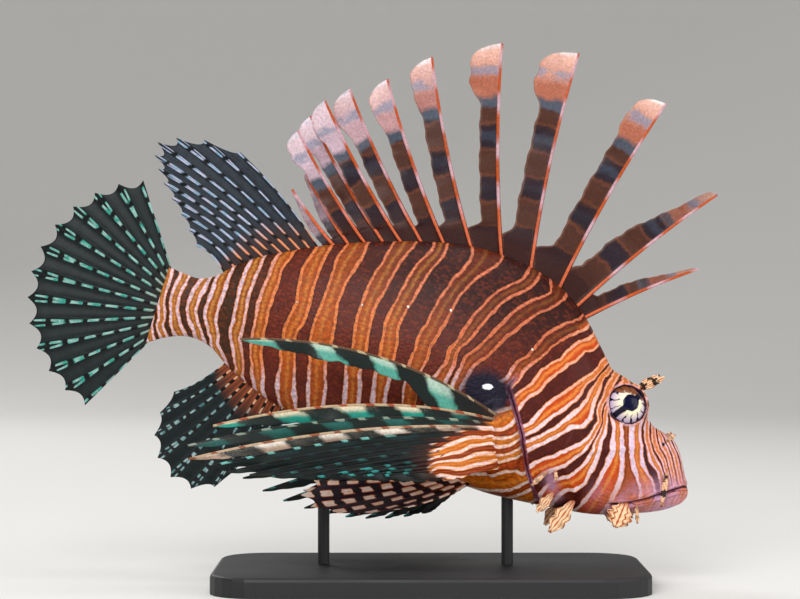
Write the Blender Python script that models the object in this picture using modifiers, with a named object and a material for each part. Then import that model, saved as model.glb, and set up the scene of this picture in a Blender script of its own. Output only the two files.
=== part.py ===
"""Red lionfish, Pterois volitans: a still, life-size model of a hovering adult, held on a display stand.

The fish is modelled level, nose towards +X and its left side towards +Y, in its own frame. An empty
then pitches it nose down and lifts it above the stand. Outline numbers are in units of UNIT, which
are millimetres at life size, so that the whole fish follows STANDARD_LENGTH.
"""

import math

import bmesh
import bpy
import numpy as np
from mathutils import Matrix, Vector

# Driving sizes, in metres and degrees
STANDARD_LENGTH = 0.228  # snout tip to the root of the tail fin
NOSE_DOWN = 17.0  # pitch of the fish on its stand
FISH_HEIGHT = 0.092  # middle of the body above the floor
BASE_LENGTH = 0.176
BASE_WIDTH = 0.100
BASE_THICKNESS = 0.008
BASE_CORNER = 0.02
BASE_EDGE = 0.0015  # rounding of the upper edge
ROD_RADIUS = 0.0024
ROD_PLACES = (45.0, -36.0)  # x along the fish where the rods meet the belly
ROD_RISE = 6.0  # of a rod above the belly line, before it is shaped to the skin

UNIT = STANDARD_LENGTH / 228.0
NOSE_DOWN_TURN = Matrix.Rotation(math.radians(NOSE_DOWN), 4, "Y")
GAP = 0.3  # clearance between neighbouring pieces
HALF_CUT = 0.18  # half of a cut between two pieces of the body
AROUND = 28  # points round a body section
SECTIONS = 50  # sections along the body
CROWDING = 1.25  # how much closer together the sections stand towards the snout

WELD = 0.002  # points closer than this are one point
SMOOTHEST_EDGE = 48.0  # degrees above which an edge is shown sharp

# The tail bends gently to the fish's left, by TAIL_SWING at TAIL_END, from BEND_START on
BEND_START = 20.0
TAIL_END = -166.0
TAIL_SWING = 13.0

# Body: x, height of the back, height of the belly, half width, height of the widest point, and how full
# the section is above and below it: 2 is an ellipse, and less is more like a keel
BODY = (
    (-114.0, 5.2, -27.6, 2.2, -11.5, 2.0, 2.0),
    (-107.0, 4.3, -23.2, 3.4, -10.5, 2.0, 2.0),
    (-100.0, 4.4, -20.4, 4.3, -9.0, 2.0, 2.0),
    (-94.0, 7.6, -20.0, 5.2, -7.5, 1.9, 2.0),
    (-88.0, 13.6, -21.4, 6.4, -5.5, 1.8, 2.0),
    (-80.0, 19.6, -26.2, 8.3, -5.0, 1.75, 2.0),
    (-70.0, 25.0, -30.8, 10.8, -4.5, 1.75, 2.0),
    (-58.0, 31.0, -35.3, 13.8, -4.0, 1.75, 2.0),
    (-44.0, 36.9, -37.3, 16.8, -4.0, 1.75, 2.0),
    (-28.0, 42.4, -37.6, 19.4, -4.0, 1.75, 2.05),
    (-10.0, 47.4, -39.6, 21.8, -5.0, 1.75, 2.1),
    (8.0, 50.0, -42.4, 23.6, -7.0, 1.75, 2.15),
    (24.0, 49.0, -44.6, 24.8, -9.0, 1.8, 2.2),
    (38.0, 46.0, -45.3, 25.4, -11.0, 1.8, 2.2),
    (48.0, 41.2, -44.8, 25.2, -13.0, 1.85, 2.2),
    (57.0, 34.4, -44.0, 24.3, -14.0, 1.9, 2.2),
    (65.0, 26.0, -43.2, 22.6, -15.0, 2.0, 2.2),
    (72.0, 18.6, -42.4, 20.6, -16.0, 2.2, 2.2),
    (79.0, 16.4, -41.5, 18.4, -17.0, 2.3, 2.2),
    (85.0, 13.6, -40.2, 16.4, -18.0, 2.2, 2.2),
    (90.0, 6.0, -38.7, 14.6, -19.0, 2.1, 2.2),
    (95.0, 0.6, -36.9, 12.8, -20.0, 2.1, 2.2),
    (100.0, -1.4, -34.9, 11.0, -20.0, 2.1, 2.2),
    (105.0, -5.2, -32.7, 9.2, -20.5, 2.1, 2.1),
    (110.0, -11.2, -30.2, 7.0, -21.5, 2.1, 2.1),
    (113.5, -16.0, -27.8, 4.6, -22.3, 2.0, 2.0),
    (116.0, -20.9, -25.0, 1.3, -22.9, 2.0, 2.0),
)

# Cuts between the pieces of the body, as (x, z) points from above the back to below the belly
GILL_LINE = (
    (58.5, 60.0), (57.0, 34.0), (45.0, 18.0), (34.5, 4.5), (32.5, -0.5),
    (37.5, -8.0), (43.5, -17.5), (48.5, -28.0), (54.0, -36.5), (60.0, -43.0), (63.0, -60.0),
)
MOUTH_LINE = (
    (122.0, -17.6), (113.8, -19.2), (106.0, -24.2), (99.0, -29.0), (91.0, -33.0), (84.0, -35.4),
)
JAW_HINGE = (77.0, -60.0)
MOUTH_GAP = 0.9
TAIL_CUT = -60.0
GILL_SWELL = 1.3  # how far the gill cover stands proud of the trunk
GILL_SWELL_CENTRE = (47.0, -17.0)
GILL_SWELL_REACH = (13.0, 19.0)

EYE_CENTRE = (80.5, 9.7, 5.1)
EYE_RADIUS = 8.6
EYE_LOOK = (0.2, 0.93, 0.3)  # the way the left eye faces
ORBIT_DEPTH = 4.2  # of the rim round the eye, from the eye's centre
ORBIT_RADIUS = 8.1
ORBIT_THICKNESS = 1.5
ORBIT_STEPS = 16
CUP_RADIUS = 9.9  # of the flesh round the back of the eye
SOCKET_RADIUS = 9.0  # of the hollow that holds the eye

# Raised lines of the head: the brow as (x, y, z), the others as (x, z) on the skin
BROW = ((69.0, 10.4, 12.4), (74.0, 12.4, 15.2), (80.0, 12.9, 15.9), (84.5, 11.9, 13.8), (88.0, 10.2, 9.6))
CHEEK_RIDGE = ((92.0, -8.0), (84.0, -11.5), (75.0, -14.5), (66.0, -17.5))
GILL_PLATE_EDGE = ((64.0, -8.0), (62.0, -17.0), (64.5, -26.0), (71.0, -33.5))
NAPE_RIDGE = ((57.0, 30.6), (63.0, 25.2), (69.0, 19.0))
BROW_RADIUS = 2.3
RIDGE_RADIUS = 1.4
RIDGE_SINK = 0.7  # of a ridge's middle line below the skin
RIDGE_END = 0.6  # thickness of a ridge's last point, as a share
RIDGE_STEPS = 9
NOSTRIL = ((98.5, -5.5), (99.6, -4.3))
NOSTRIL_RADII = (1.1, 0.5)
NOSTRIL_HEIGHTS = (-1.5, 1.3)
PIT_SHARES = (0.4, 1.3)  # where the pit in a nostril begins and ends along it
LIP_RADIUS = 1.1
LIP_RISE = 1.3  # of each lip's middle line from the mouth line
LIP_FRONT = (-1.2, 2.6)  # x from the mouth line's front point, and y, where the lip rounds the snout

# Dorsal spines, from the nape back: x of the root, (x, z) of the tip, width of the pennant behind the
# spine, width of its flag near the tip, and how far the tip leans to the left
DORSAL_SPINES = (
    (55.5, 94.0, 67.5, 5.5, 1.5, -3.0),
    (51.0, 93.5, 99.5, 11.0, 4.0, 5.0),
    (42.0, 61.5, 128.0, 9.5, 11.0, -6.0),
    (28.5, 22.0, 138.5, 9.5, 14.5, 6.0),
    (15.5, -9.5, 132.0, 7.5, 12.5, -6.0),
    (2.5, -35.5, 119.5, 7.5, 10.0, 5.0),
    (-8.5, -50.0, 104.5, 6.5, 9.5, -6.0),
    (-17.5, -64.0, 97.0, 6.5, 10.0, 3.5),
    (-25.5, -72.0, 89.0, 6.5, 9.0, -4.0),
    (-32.5, -76.5, 82.0, 5.5, 8.0, 8.0),
    (-39.5, -79.0, 74.0, 5.5, 7.5, -5.5),
    (-46.0, -71.5, 58.5, 4.0, 1.5, 5.0),
    (-51.5, -74.5, 50.5, 3.5, 1.2, -1.5),
)
SPINE_ROWS = (0.0, 0.07, 0.15, 0.42, 0.7, 0.78, 0.88, 0.95, 0.985, 1.0)
SPINE_WEB_ROW = 2  # the low membrane joins neighbouring spines up to this row
SPINE_BOW = 0.02  # how far a spine bows backwards, as a share of its length
FLAG_START = 0.7  # share of a spine's length where its pennant begins to widen
FLAG_RISE = 0.14
TIP_ROUNDING = 0.09  # share of the length over which a pennant rounds off
LEAST_WIDTH = 0.5  # of any membrane, at its tip

# Fans of soft rays: where their roots begin and end on the body, and the tips from first to last
SOFT_DORSAL_ROOTS = (-57.0, -91.5)
SOFT_DORSAL_TIPS = (
    (-100.0, 59.0), (-115.5, 59.5), (-127.0, 57.0), (-134.0, 53.0), (-133.5, 47.5), (-130.5, 42.5),
    (-126.5, 37.5), (-121.5, 32.5), (-116.0, 27.5), (-110.5, 22.0), (-105.5, 16.5),
)
ANAL_ROOTS = (-48.5, -80.0)
ANAL_TIPS = (
    (-52.5, -48.5), (-60.0, -57.5), (-64.0, -68.0), (-69.5, -76.0), (-78.5, -79.5), (-88.0, -77.5),
    (-95.5, -71.5), (-99.5, -63.0), (-100.0, -53.5), (-97.0, -43.5),
)
CAUDAL_RAYS = 13
CAUDAL_ROOT_Z = (4.0, -26.0)
CAUDAL_ANGLES = (66.0, -71.0)  # of the outer rays, from straight back
CAUDAL_RADIUS = 55.0
FAN_ROWS = (0.0, 0.25, 0.55, 0.82, 1.0)
FAN_REACH = 0.93  # how far the membrane between two rays reaches along them

# Paired fins. Angles are of the first and last ray: down from straight back, and out from the body
PECTORAL_RAYS = 14
PECTORAL_ROOT = ((32.0, -13.0), (39.0, -32.0))
PECTORAL_LENGTHS = (108.0, 128.0, 48.0)  # first ray, longest ray, last ray
PECTORAL_LONGEST = 0.2  # where along the fan the longest ray stands
PECTORAL_ROWS = (0.0, 0.14, 0.28, 0.44, 0.62, 0.82, 1.0)
PECTORAL_WEB_ROW = 2
PECTORAL_ROOT_OUT = 2.6  # of the ray roots from the side of the body
PECTORAL_PAD = (8.0, 4.8, 12.6)  # radii of the fleshy base
PECTORAL_PAD_AHEAD = 3.6  # of its middle from the line of the ray roots
PECTORAL_BLADE = 6.2  # width of the membrane along each free ray
PECTORAL_LAST_BLADE = (1.0, 2.5)  # width behind the last ray, and what it gains by the tip
PECTORAL_HANG = (0.28, 0.2)  # share of a ray where its membrane begins to hang, and over which it turns
# down: of the first ray, and how much more the rays below it reach, at the power spread and less lift
PECTORAL_RIGHT = {"down": (0.0, 31.0), "spread": 0.22, "lift": 12.0, "out": (9.0, 38.0), "arch": 9.0}
PECTORAL_LEFT = {"down": (14.0, 42.0), "spread": 0.8, "lift": 0.0, "out": (16.0, 34.0), "arch": 6.0}
PELVIC_RAYS = 6
PELVIC_ROOT = ((31.0, -45.2), (20.0, -44.0))
PELVIC_TIPS = ((5.0, -60.0), (-9.0, -67.0), (-20.0, -70.0), (-29.0, -70.5), (-34.5, -67.5), (-31.0, -60.5))
PELVIC_ROOT_OUT = 8.0
PELVIC_ROOT_SINK = 3.0  # of the ray roots into the belly, which they are cut back to
PELVIC_TIP_OUT = (27.0, 9.0)

# Thickness of the fins. Pairs are at the root and at the tip
MEMBRANE = 0.6
SPINE_THICKNESS = (2.2, 0.8)
SPINE_HALF_WIDTH = (1.0, 0.35)
RAY_THICKNESS = (1.5, 0.55)
RAY_HALF_WIDTH = (0.55, 0.3)
FAN_BLADES = (1.5, 1.1)  # membrane behind a ray, and behind the last one

# Skin flaps of one side: root (x, z) on the skin, tip (x, z), how far the tip stands out, and width
FLAPS = {
    "brow_tentacle": ((84.0, 12.5), (93.0, 21.5), 3.0, 3.6),
    "snout_barbel": ((105.0, -13.5), (106.5, -29.0), 4.5, 1.8),
    "lip_flap": ((88.5, -34.2), (86.0, -45.5), 3.0, 7.5),
    "cheek_flap": ((72.0, -37.0), (66.0, -52.0), 3.0, 6.0),
    "gill_flap": ((63.0, -36.0), (58.5, -45.5), 2.5, 3.8),
}

FLAP_SINK = 1.5  # of a flap's root below the skin, which it is cut back to
FLAP_ROWS = (0.0, 0.3, 0.55, 0.8, 1.0)
FLAP_WIDTHS = (0.7, 0.85, 1.0, 0.8, 0.25)
FLAP_THICKNESS = (1.5, 1.3, 1.1, 0.9, 0.7)

COLOURS = {
    "skin": (0.45, 0.13, 0.05),
    "fin": (0.16, 0.09, 0.08),
    "pennant": (0.35, 0.18, 0.14),
    "flap": (0.78, 0.50, 0.30),
    "eye": (0.05, 0.05, 0.08),
    "stand": (0.06, 0.06, 0.065),
}
ROUGHNESS = {"skin": 0.45, "fin": 0.5, "pennant": 0.5, "flap": 0.5, "eye": 0.1, "stand": 0.4}


def clear_scene():
    for old in list(bpy.data.objects):
        bpy.data.objects.remove(old)


def new_collection(name, hidden=False):
    made = bpy.data.collections.new(name)
    made.hide_render = hidden
    bpy.context.scene.collection.children.link(made)
    return made


def material(name):
    made = bpy.data.materials.get(name)
    if made is None:
        made = bpy.data.materials.new(name)
        made.use_nodes = True
        shader = made.node_tree.nodes["Principled BSDF"]
        shader.inputs["Base Color"].default_value = (*COLOURS[name], 1.0)
        shader.inputs["Roughness"].default_value = ROUGHNESS[name]
        shader.inputs["Metallic"].default_value = 0.0
        made.diffuse_color = (*COLOURS[name], 1.0)
    return made


def smooth_rows(rows, at):
    """Each column of rows as a smooth curve of the first one, read at the given places."""
    rows = np.array(rows, float)
    x = rows[:, 0]
    order = np.argsort(x)
    x, values = x[order], rows[order, 1:]
    slopes = np.gradient(values, x, axis=0)
    at = np.clip(np.atleast_1d(at), x[0], x[-1])
    i = np.clip(np.searchsorted(x, at) - 1, 0, len(x) - 2)
    span = (x[i + 1] - x[i])[:, None]
    t = ((at - x[i])[:, None]) / span
    return (
        (2 * t**3 - 3 * t**2 + 1) * values[i]
        + (t**3 - 2 * t**2 + t) * span * slopes[i]
        + (3 * t**2 - 2 * t**3) * values[i + 1]
        + (t**3 - t**2) * span * slopes[i + 1]
    )


def section(x):
    """Back, belly, half width, height of the widest point, and both fullnesses at x."""
    return smooth_rows(BODY, x)[0]


def back_z(x):
    return section(x)[0]


def belly_z(x):
    return section(x)[1]


def side_y(x, z):
    """Half the width of the body at x and z."""
    back, belly, half_width, widest, full_up, full_down = section(x)
    height, full = (back - widest, full_up) if z > widest else (widest - belly, full_down)
    share = min(abs(z - widest) / height, 1.0)
    return half_width * (1.0 - share**full) ** (1.0 / full)


def swell(x, z):
    """How far the gill cover stands out from the plain side of the body."""
    (centre_x, centre_z), (reach_x, reach_z) = GILL_SWELL_CENTRE, GILL_SWELL_REACH
    away = ((x - centre_x) / reach_x) ** 2 + ((z - centre_z) / reach_z) ** 2
    return GILL_SWELL * math.exp(-away)


def stations():
    """Places of the body's sections, closer together at the snout and the head."""
    low, high = BODY[0][0], BODY[-1][0]
    t = np.linspace(0.0, 1.0, SECTIONS)
    return low + (high - low) * (1.0 - (1.0 - t) ** CROWDING)


def body_mesh(name, swollen, grow=0.0):
    """The whole fleshy body as one closed loft. grow moves its surface outwards."""
    bm = bmesh.new()
    rings = []
    for x in stations():
        back, belly, half_width, widest, full_up, full_down = section(x)
        ring = []
        for turn in range(AROUND):
            angle = 2 * math.pi * turn / AROUND
            up = math.cos(angle)
            out = math.sin(angle)
            height, full = (back - widest, full_up) if up >= 0 else (widest - belly, full_down)
            y = half_width * math.copysign(abs(out) ** (2.0 / full), out)
            z = widest + height * math.copysign(abs(up) ** (2.0 / full), up)
            if swollen:
                y += math.copysign(swell(x, z), out) * abs(out)
            ring.append(bm.verts.new((x, y, z)))
        rings.append(ring)
    for one, two in zip(rings, rings[1:]):
        for i in range(AROUND):
            j = (i + 1) % AROUND
            bm.faces.new((one[i], one[j], two[j], two[i]))
    bm.faces.new(rings[0])
    bm.faces.new(rings[-1])
    bmesh.ops.recalc_face_normals(bm, faces=bm.faces)
    if grow:
        bm.normal_update()
        for vert in bm.verts:
            vert.co += vert.normal * grow
    mesh = bpy.data.meshes.new(name)
    bm.to_mesh(mesh)
    bm.free()
    return mesh


def place(name, mesh, collection):
    obj = bpy.data.objects.new(name, mesh)
    collection.objects.link(obj)
    return obj


def evaluated_mesh(obj):
    """The object's mesh as its modifiers or its curve make it, with loose caps joined."""
    bpy.context.view_layer.update()
    graph = bpy.context.evaluated_depsgraph_get()
    mesh = bpy.data.meshes.new_from_object(obj.evaluated_get(graph))
    bm = bmesh.new()
    bm.from_mesh(mesh)
    bmesh.ops.remove_doubles(bm, verts=bm.verts, dist=WELD)
    bmesh.ops.dissolve_degenerate(bm, edges=bm.edges, dist=WELD)
    bm.to_mesh(mesh)
    bm.free()
    return mesh


def largest_piece(mesh):
    """Keeps only the largest closed surface of the mesh."""
    bm = bmesh.new()
    bm.from_mesh(mesh)
    left = set(bm.faces)
    pieces = []
    while left:
        found = {left.pop()}
        edge_of_search = list(found)
        while edge_of_search:
            face = edge_of_search.pop()
            for edge in face.edges:
                for other in edge.link_faces:
                    if other not in found:
                        found.add(other)
                        edge_of_search.append(other)
        left -= found
        pieces.append(found)
    pieces.sort(key=lambda faces: sum(face.calc_area() for face in faces))
    for faces in pieces[:-1]:
        bmesh.ops.delete(bm, geom=list(faces), context="FACES")
    loose = [vert for vert in bm.verts if not vert.link_faces]
    bmesh.ops.delete(bm, geom=loose, context="VERTS")
    bm.to_mesh(mesh)
    bm.free()


def apply_modifiers(obj):
    mesh = evaluated_mesh(obj)
    largest_piece(mesh)
    obj.modifiers.clear()
    obj.data = mesh


def combine(obj, others, operation):
    """Joins the other closed meshes to obj, or cuts them from it or keeps what they share."""
    cutters = bpy.data.collections.new(obj.name + "_" + operation.lower())
    bpy.context.scene.collection.children.link(cutters)
    cutters.hide_render = True
    for other in others:
        for old in list(other.users_collection):
            old.objects.unlink(other)
        cutters.objects.link(other)
    boolean = obj.modifiers.new(operation.lower(), "BOOLEAN")
    boolean.operation = operation
    boolean.solver = "EXACT"
    if operation == "INTERSECT":
        boolean.operand_type = "OBJECT"
        boolean.object = others[0]
    else:
        boolean.operand_type = "COLLECTION"
        boolean.collection = cutters
    apply_modifiers(obj)
    for other in others:
        bpy.data.objects.remove(other)
    bpy.data.collections.remove(cutters)


def prism(name, outline, collection, half_width=80.0):
    """A side view outline of (x, z) points, as a block across the whole fish."""
    curve = bpy.data.curves.new(name, "CURVE")
    curve.dimensions = "2D"
    curve.fill_mode = "BOTH"
    curve.extrude = half_width
    spline = curve.splines.new("POLY")
    spline.points.add(len(outline) - 1)
    spline.use_cyclic_u = True
    for point, (x, z) in zip(spline.points, outline):
        point.co = (x, z, 0.0, 1.0)
    obj = place(name, curve, collection)
    mesh = evaluated_mesh(obj)
    mesh.transform(Matrix.Rotation(math.radians(90.0), 4, "X"))
    bpy.data.objects.remove(obj)
    return place(name, mesh, collection)


def flowing(points, count):
    """The points as a smooth line, read at count even places."""
    rows = [(i, *point) for i, point in enumerate(points)]
    return smooth_rows(rows, np.linspace(0.0, len(points) - 1.0, count))


def tube(name, points, radius, collection, thin_end=1.0, roundness=1):
    """A round bar along the points, thinner towards its last point by the share thin_end."""
    curve = bpy.data.curves.new(name, "CURVE")
    curve.dimensions = "3D"
    curve.bevel_depth = radius
    curve.bevel_resolution = roundness
    curve.use_fill_caps = True
    spline = curve.splines.new("POLY")
    spline.points.add(len(points) - 1)
    for i, (point, co) in enumerate(zip(spline.points, points)):
        point.co = (*co, 1.0)
        point.radius = 1.0 + (thin_end - 1.0) * i / (len(points) - 1)
    obj = place(name, curve, collection)
    mesh = evaluated_mesh(obj)
    bpy.data.objects.remove(obj)
    return place(name, mesh, collection)


def ball(name, centre, radii, collection, segments=18, rings=12):
    bm = bmesh.new()
    bmesh.ops.create_uvsphere(bm, u_segments=segments, v_segments=rings, radius=1.0)
    bmesh.ops.scale(bm, vec=radii, verts=bm.verts)
    bmesh.ops.translate(bm, vec=centre, verts=bm.verts)
    mesh = bpy.data.meshes.new(name)
    bm.to_mesh(mesh)
    bm.free()
    return place(name, mesh, collection)


def ring(name, centre, way, radius, thickness, collection):
    """A round rim of a circular section, facing the given way."""
    curve = bpy.data.curves.new(name, "CURVE")
    curve.dimensions = "3D"
    curve.bevel_depth = thickness
    curve.bevel_resolution = 1
    spline = curve.splines.new("POLY")
    spline.points.add(ORBIT_STEPS - 1)
    spline.use_cyclic_u = True
    for i, point in enumerate(spline.points):
        turn = 2 * math.pi * i / ORBIT_STEPS
        point.co = (radius * math.cos(turn), radius * math.sin(turn), 0.0, 1.0)
    obj = place(name, curve, collection)
    mesh = evaluated_mesh(obj)
    bpy.data.objects.remove(obj)
    mesh.transform(Vector(way).to_track_quat("Z", "Y").to_matrix().to_4x4())
    mesh.transform(Matrix.Translation(centre))
    return place(name, mesh, collection)


def mirrored(point, side):
    """A point of the left side, taken to the side that is 1 for left and -1 for right."""
    return Vector((point[0], side * point[1], point[2]))


def eye_room(side, radius, collection):
    """A ball round the middle of one eye."""
    return ball("eye_room", mirrored(EYE_CENTRE, side), (radius,) * 3, collection, 16, 10)


def eye_cup(side, rim, look, collection):
    """The flesh round the back of the eye: a ball cut flat at the rim."""
    cup = eye_room(side, CUP_RADIUS, collection)
    bm = bmesh.new()
    bm.from_mesh(cup.data)
    whole = [*bm.verts, *bm.edges, *bm.faces]
    cut = bmesh.ops.bisect_plane(bm, geom=whole, plane_co=rim, plane_no=look, clear_outer=True)
    edges = [part for part in cut["geom_cut"] if isinstance(part, bmesh.types.BMEdge)]
    bmesh.ops.holes_fill(bm, edges=edges)
    bm.to_mesh(cup.data)
    bm.free()
    return cup


def unit_rows(vectors):
    return vectors / np.maximum(np.linalg.norm(vectors, axis=1, keepdims=True), 1e-9)


def at_share(line, share):
    """The point that lies at this share of the rows of a line."""
    place_in_line = share * (len(line) - 1)
    i = min(int(place_in_line), len(line) - 2)
    return line[i] + (line[i + 1] - line[i]) * (place_in_line - i)


class Ray:
    """One spine or ray of a fin: its crest from root to tip, the way to the next ray, and its widths.

    foot is the way to the next root along the body, where that differs from the way between rays.
    """

    def __init__(self, line, across, half_width, blade, thickness, web_row, foot=None):
        self.line = line
        along = unit_rows(np.gradient(line, axis=0))
        across = np.broadcast_to(np.array(across, float), line.shape)
        flat = across - along * np.sum(across * along, axis=1, keepdims=True)
        self.across = unit_rows(flat)
        if foot is not None:
            self.across[0] = foot
        self.half_width = np.array(half_width, float)
        self.blade = np.array(blade, float)
        self.thickness = np.array(thickness, float)
        self.web_row = web_row


def sheet(name, columns, strips, collection):
    """A solid from an open grid. Columns are (points, thicknesses), strips join two of them up to a row."""
    bm = bmesh.new()
    weights = bm.verts.layers.deform.verify()
    most = max(max(thicknesses) for _, thicknesses in columns)
    made = []
    for points, thicknesses in columns:
        column = [bm.verts.new(point) for point in points]
        for vert, thick in zip(column, thicknesses):
            vert[weights][0] = thick / most
        made.append(column)
    for left, right, rows in strips:
        left, right = made[left], made[right]
        for row in range(rows):
            bm.faces.new((left[row], right[row], right[row + 1], left[row + 1]))
    bmesh.ops.triangulate(bm, faces=bm.faces)
    bmesh.ops.recalc_face_normals(bm, faces=bm.faces)
    mesh = bpy.data.meshes.new(name)
    bm.to_mesh(mesh)
    bm.free()
    obj = place(name, mesh, collection)
    obj.vertex_groups.new(name="thickness")
    solid = obj.modifiers.new("solid", "SOLIDIFY")
    solid.thickness = most
    solid.offset = 0.0
    solid.vertex_group = "thickness"
    solid.thickness_vertex_group = 0.0
    apply_modifiers(obj)
    return obj


def fin_sheet(name, rays, reach, collection, leading_flank=True, root_z=None):
    """A fin as one sheet with its rays raised in its own surface.

    Each ray has four columns of points: its two flanks, its crest between them, and the edge of the
    membrane behind it. That edge is free above the ray's web row, and below it the membrane runs on
    to the next ray, where it ends at the share reach of the rays, so that the margin is scalloped.
    Without its leading flank a ray has its crest on its front edge. root_z is the height of the root
    line at any x, where that line follows the back or the belly.
    """
    columns, strips = [], []
    for number, ray in enumerate(rays):
        half = ray.half_width[:, None]
        lead = ray.line - ray.across * half
        trail = ray.line + ray.across * half
        edge = ray.line + ray.across * ray.blade[:, None]
        rows = len(ray.line)
        thin = np.minimum(MEMBRANE, ray.thickness)
        if number + 1 < len(rays):
            after = rays[number + 1]
            far = after.line - after.across * after.half_width[:, None]
            for row in range(ray.web_row + 1):
                share = row / (rows - 1) * reach
                edge[row] = (at_share(trail, share) + at_share(far, share)) / 2
        for points in (lead, trail, edge) if root_z else ():
            points[0, 2] = root_z(points[0, 0])
        first = len(columns)
        columns += [(lead, thin)] if leading_flank else []
        columns += [(ray.line, ray.thickness), (trail, thin), (edge, thin)]
        last = len(columns) - 1
        strips += [(i, i + 1, rows - 1) for i in range(first, last)]
        if number + 1 < len(rays) and ray.web_row:
            strips.append((last, last + 1, ray.web_row))
    return sheet(name, columns, strips, collection)


def curved_line(root, tip, bow, rows):
    """Points from root to tip at the given shares, bowed by the vector bow at their middle."""
    shares = np.array(rows)[:, None]
    root, tip, bow = (np.array(v, float) for v in (root, tip, bow))
    return root + (tip - root) * shares + bow * 4 * shares * (1 - shares)


def tapered(ends, rows):
    """A size that changes evenly from root to tip, read at the given shares."""
    root, tip = ends
    return root + (tip - root) * np.array(rows)


def ways_across(lines):
    """The way from each ray's line to the next, row by row, half way between its two neighbours."""
    steps = [unit_rows(two - one) for one, two in zip(lines, lines[1:])]
    return [steps[0]] + [one + two for one, two in zip(steps, steps[1:])] + [steps[-1]]


def fan(name, roots, tips, bow, collection, on_outline=True, root_z=None):
    """A webbed fan of soft rays, whose roots keep to the outline of the body or are cut to it later."""
    rows = FAN_ROWS
    lines = [curved_line(root, tip, bow, rows) for root, tip in zip(roots, tips)]
    feet = ways_across([np.array([root]) for root in roots])
    rays = []
    for i, (line, across) in enumerate(zip(lines, ways_across(lines))):
        last = i + 1 == len(lines)
        foot = unit_rows(feet[i])[0]
        rays.append(
            Ray(
                line,
                across,
                tapered(RAY_HALF_WIDTH, rows),
                np.full(len(rows), FAN_BLADES[last]),
                tapered(RAY_THICKNESS, rows),
                0 if last else len(rows) - 1,
                foot if on_outline else None,
            )
        )
    return fin_sheet(name, rays, FAN_REACH, collection, root_z=root_z)


def pennant_width(wide, flag):
    """Membrane behind a dorsal spine at each row: narrow, then a flag that rounds off at the tip."""
    shares = np.array(SPINE_ROWS)
    into_flag = np.clip((shares - FLAG_START) / FLAG_RISE, 0.0, 1.0)
    width = wide + (flag - wide) * into_flag * into_flag * (3.0 - 2.0 * into_flag)
    left = np.clip((1.0 - shares) / TIP_ROUNDING, 0.0, 1.0)
    return np.maximum(width * np.sqrt(1.0 - (1.0 - left) ** 2), LEAST_WIDTH)


def spiny_dorsal_fin(collection):
    """Thirteen stiff spines, each with its own pennant, on a low web along the back."""
    rays = []
    for x, tip_x, tip_z, wide, flag, lean in DORSAL_SPINES:
        root = Vector((x, 0.0, back_z(x) + GAP))
        tip = Vector((tip_x, lean, tip_z))
        chord = tip - root
        behind = Vector((-chord.z, 0.0, chord.x)).normalized()
        if behind.x > 0:
            behind.negate()
        line = curved_line(root, tip, behind * chord.length * SPINE_BOW, SPINE_ROWS)
        rays.append(
            Ray(
                line,
                behind,
                tapered(SPINE_HALF_WIDTH, SPINE_ROWS),
                pennant_width(wide, flag),
                tapered(SPINE_THICKNESS, SPINE_ROWS),
                SPINE_WEB_ROW,
                (-1.0, 0.0, 0.0),
            )
        )
    rays[-1].web_row = 0
    return fin_sheet("spiny_dorsal_fin", rays, 1.0, collection, root_z=lambda x: back_z(x) + GAP)


def median_fin(name, first, last, tips, edge, side, bow, collection):
    """A fan on the middle line of the back or the belly."""
    xs = np.linspace(first, last, len(tips))
    roots = [(x, 0.0, edge(x) + side * GAP) for x in xs]
    ends = [(x, 0.0, z) for x, z in tips]
    return fan(name, roots, ends, bow, collection, root_z=lambda x: edge(x) + side * GAP)


def caudal_fin(collection):
    """The tail fin, a wide rounded fan."""
    roots, tips = [], []
    top, bottom = CAUDAL_ROOT_Z
    high, low = (math.radians(a) for a in CAUDAL_ANGLES)
    middle = (top + bottom) / 2
    for i in range(CAUDAL_RAYS):
        share = i / (CAUDAL_RAYS - 1)
        angle = high + (low - high) * share
        roots.append((BODY[0][0] - GAP, 0.0, top + (bottom - top) * share))
        length = CAUDAL_RADIUS * (0.94 + 0.06 * math.sin(math.pi * share))
        tips.append(
            (
                BODY[0][0] - length * math.cos(angle),
                0.0,
                middle + length * math.sin(angle),
            )
        )
    return fan("caudal_fin", roots, tips, (0.0, 0.0, 0.0), collection)


def pectoral_direction(share, side, pose):
    """The way a ray of the pectoral fin points: back, out to its side and down."""
    first, more = pose["down"]
    down = math.radians(first + more * share ** pose["spread"] - pose["lift"] * share**2)
    first, last = pose["out"]
    out = math.radians(first + (last - first) * share)
    flat = math.cos(down) * math.cos(out)
    return Vector((-flat, side * math.sin(out), -math.sin(down) * math.cos(out)))


def pectoral_length(share):
    first, longest, last = PECTORAL_LENGTHS
    if share < PECTORAL_LONGEST:
        turn = 0.5 - 0.5 * math.cos(math.pi * share / PECTORAL_LONGEST)
        return first + (longest - first) * turn
    turn = (share - PECTORAL_LONGEST) / (1.0 - PECTORAL_LONGEST)
    return longest + (last - longest) * turn**1.15


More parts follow.
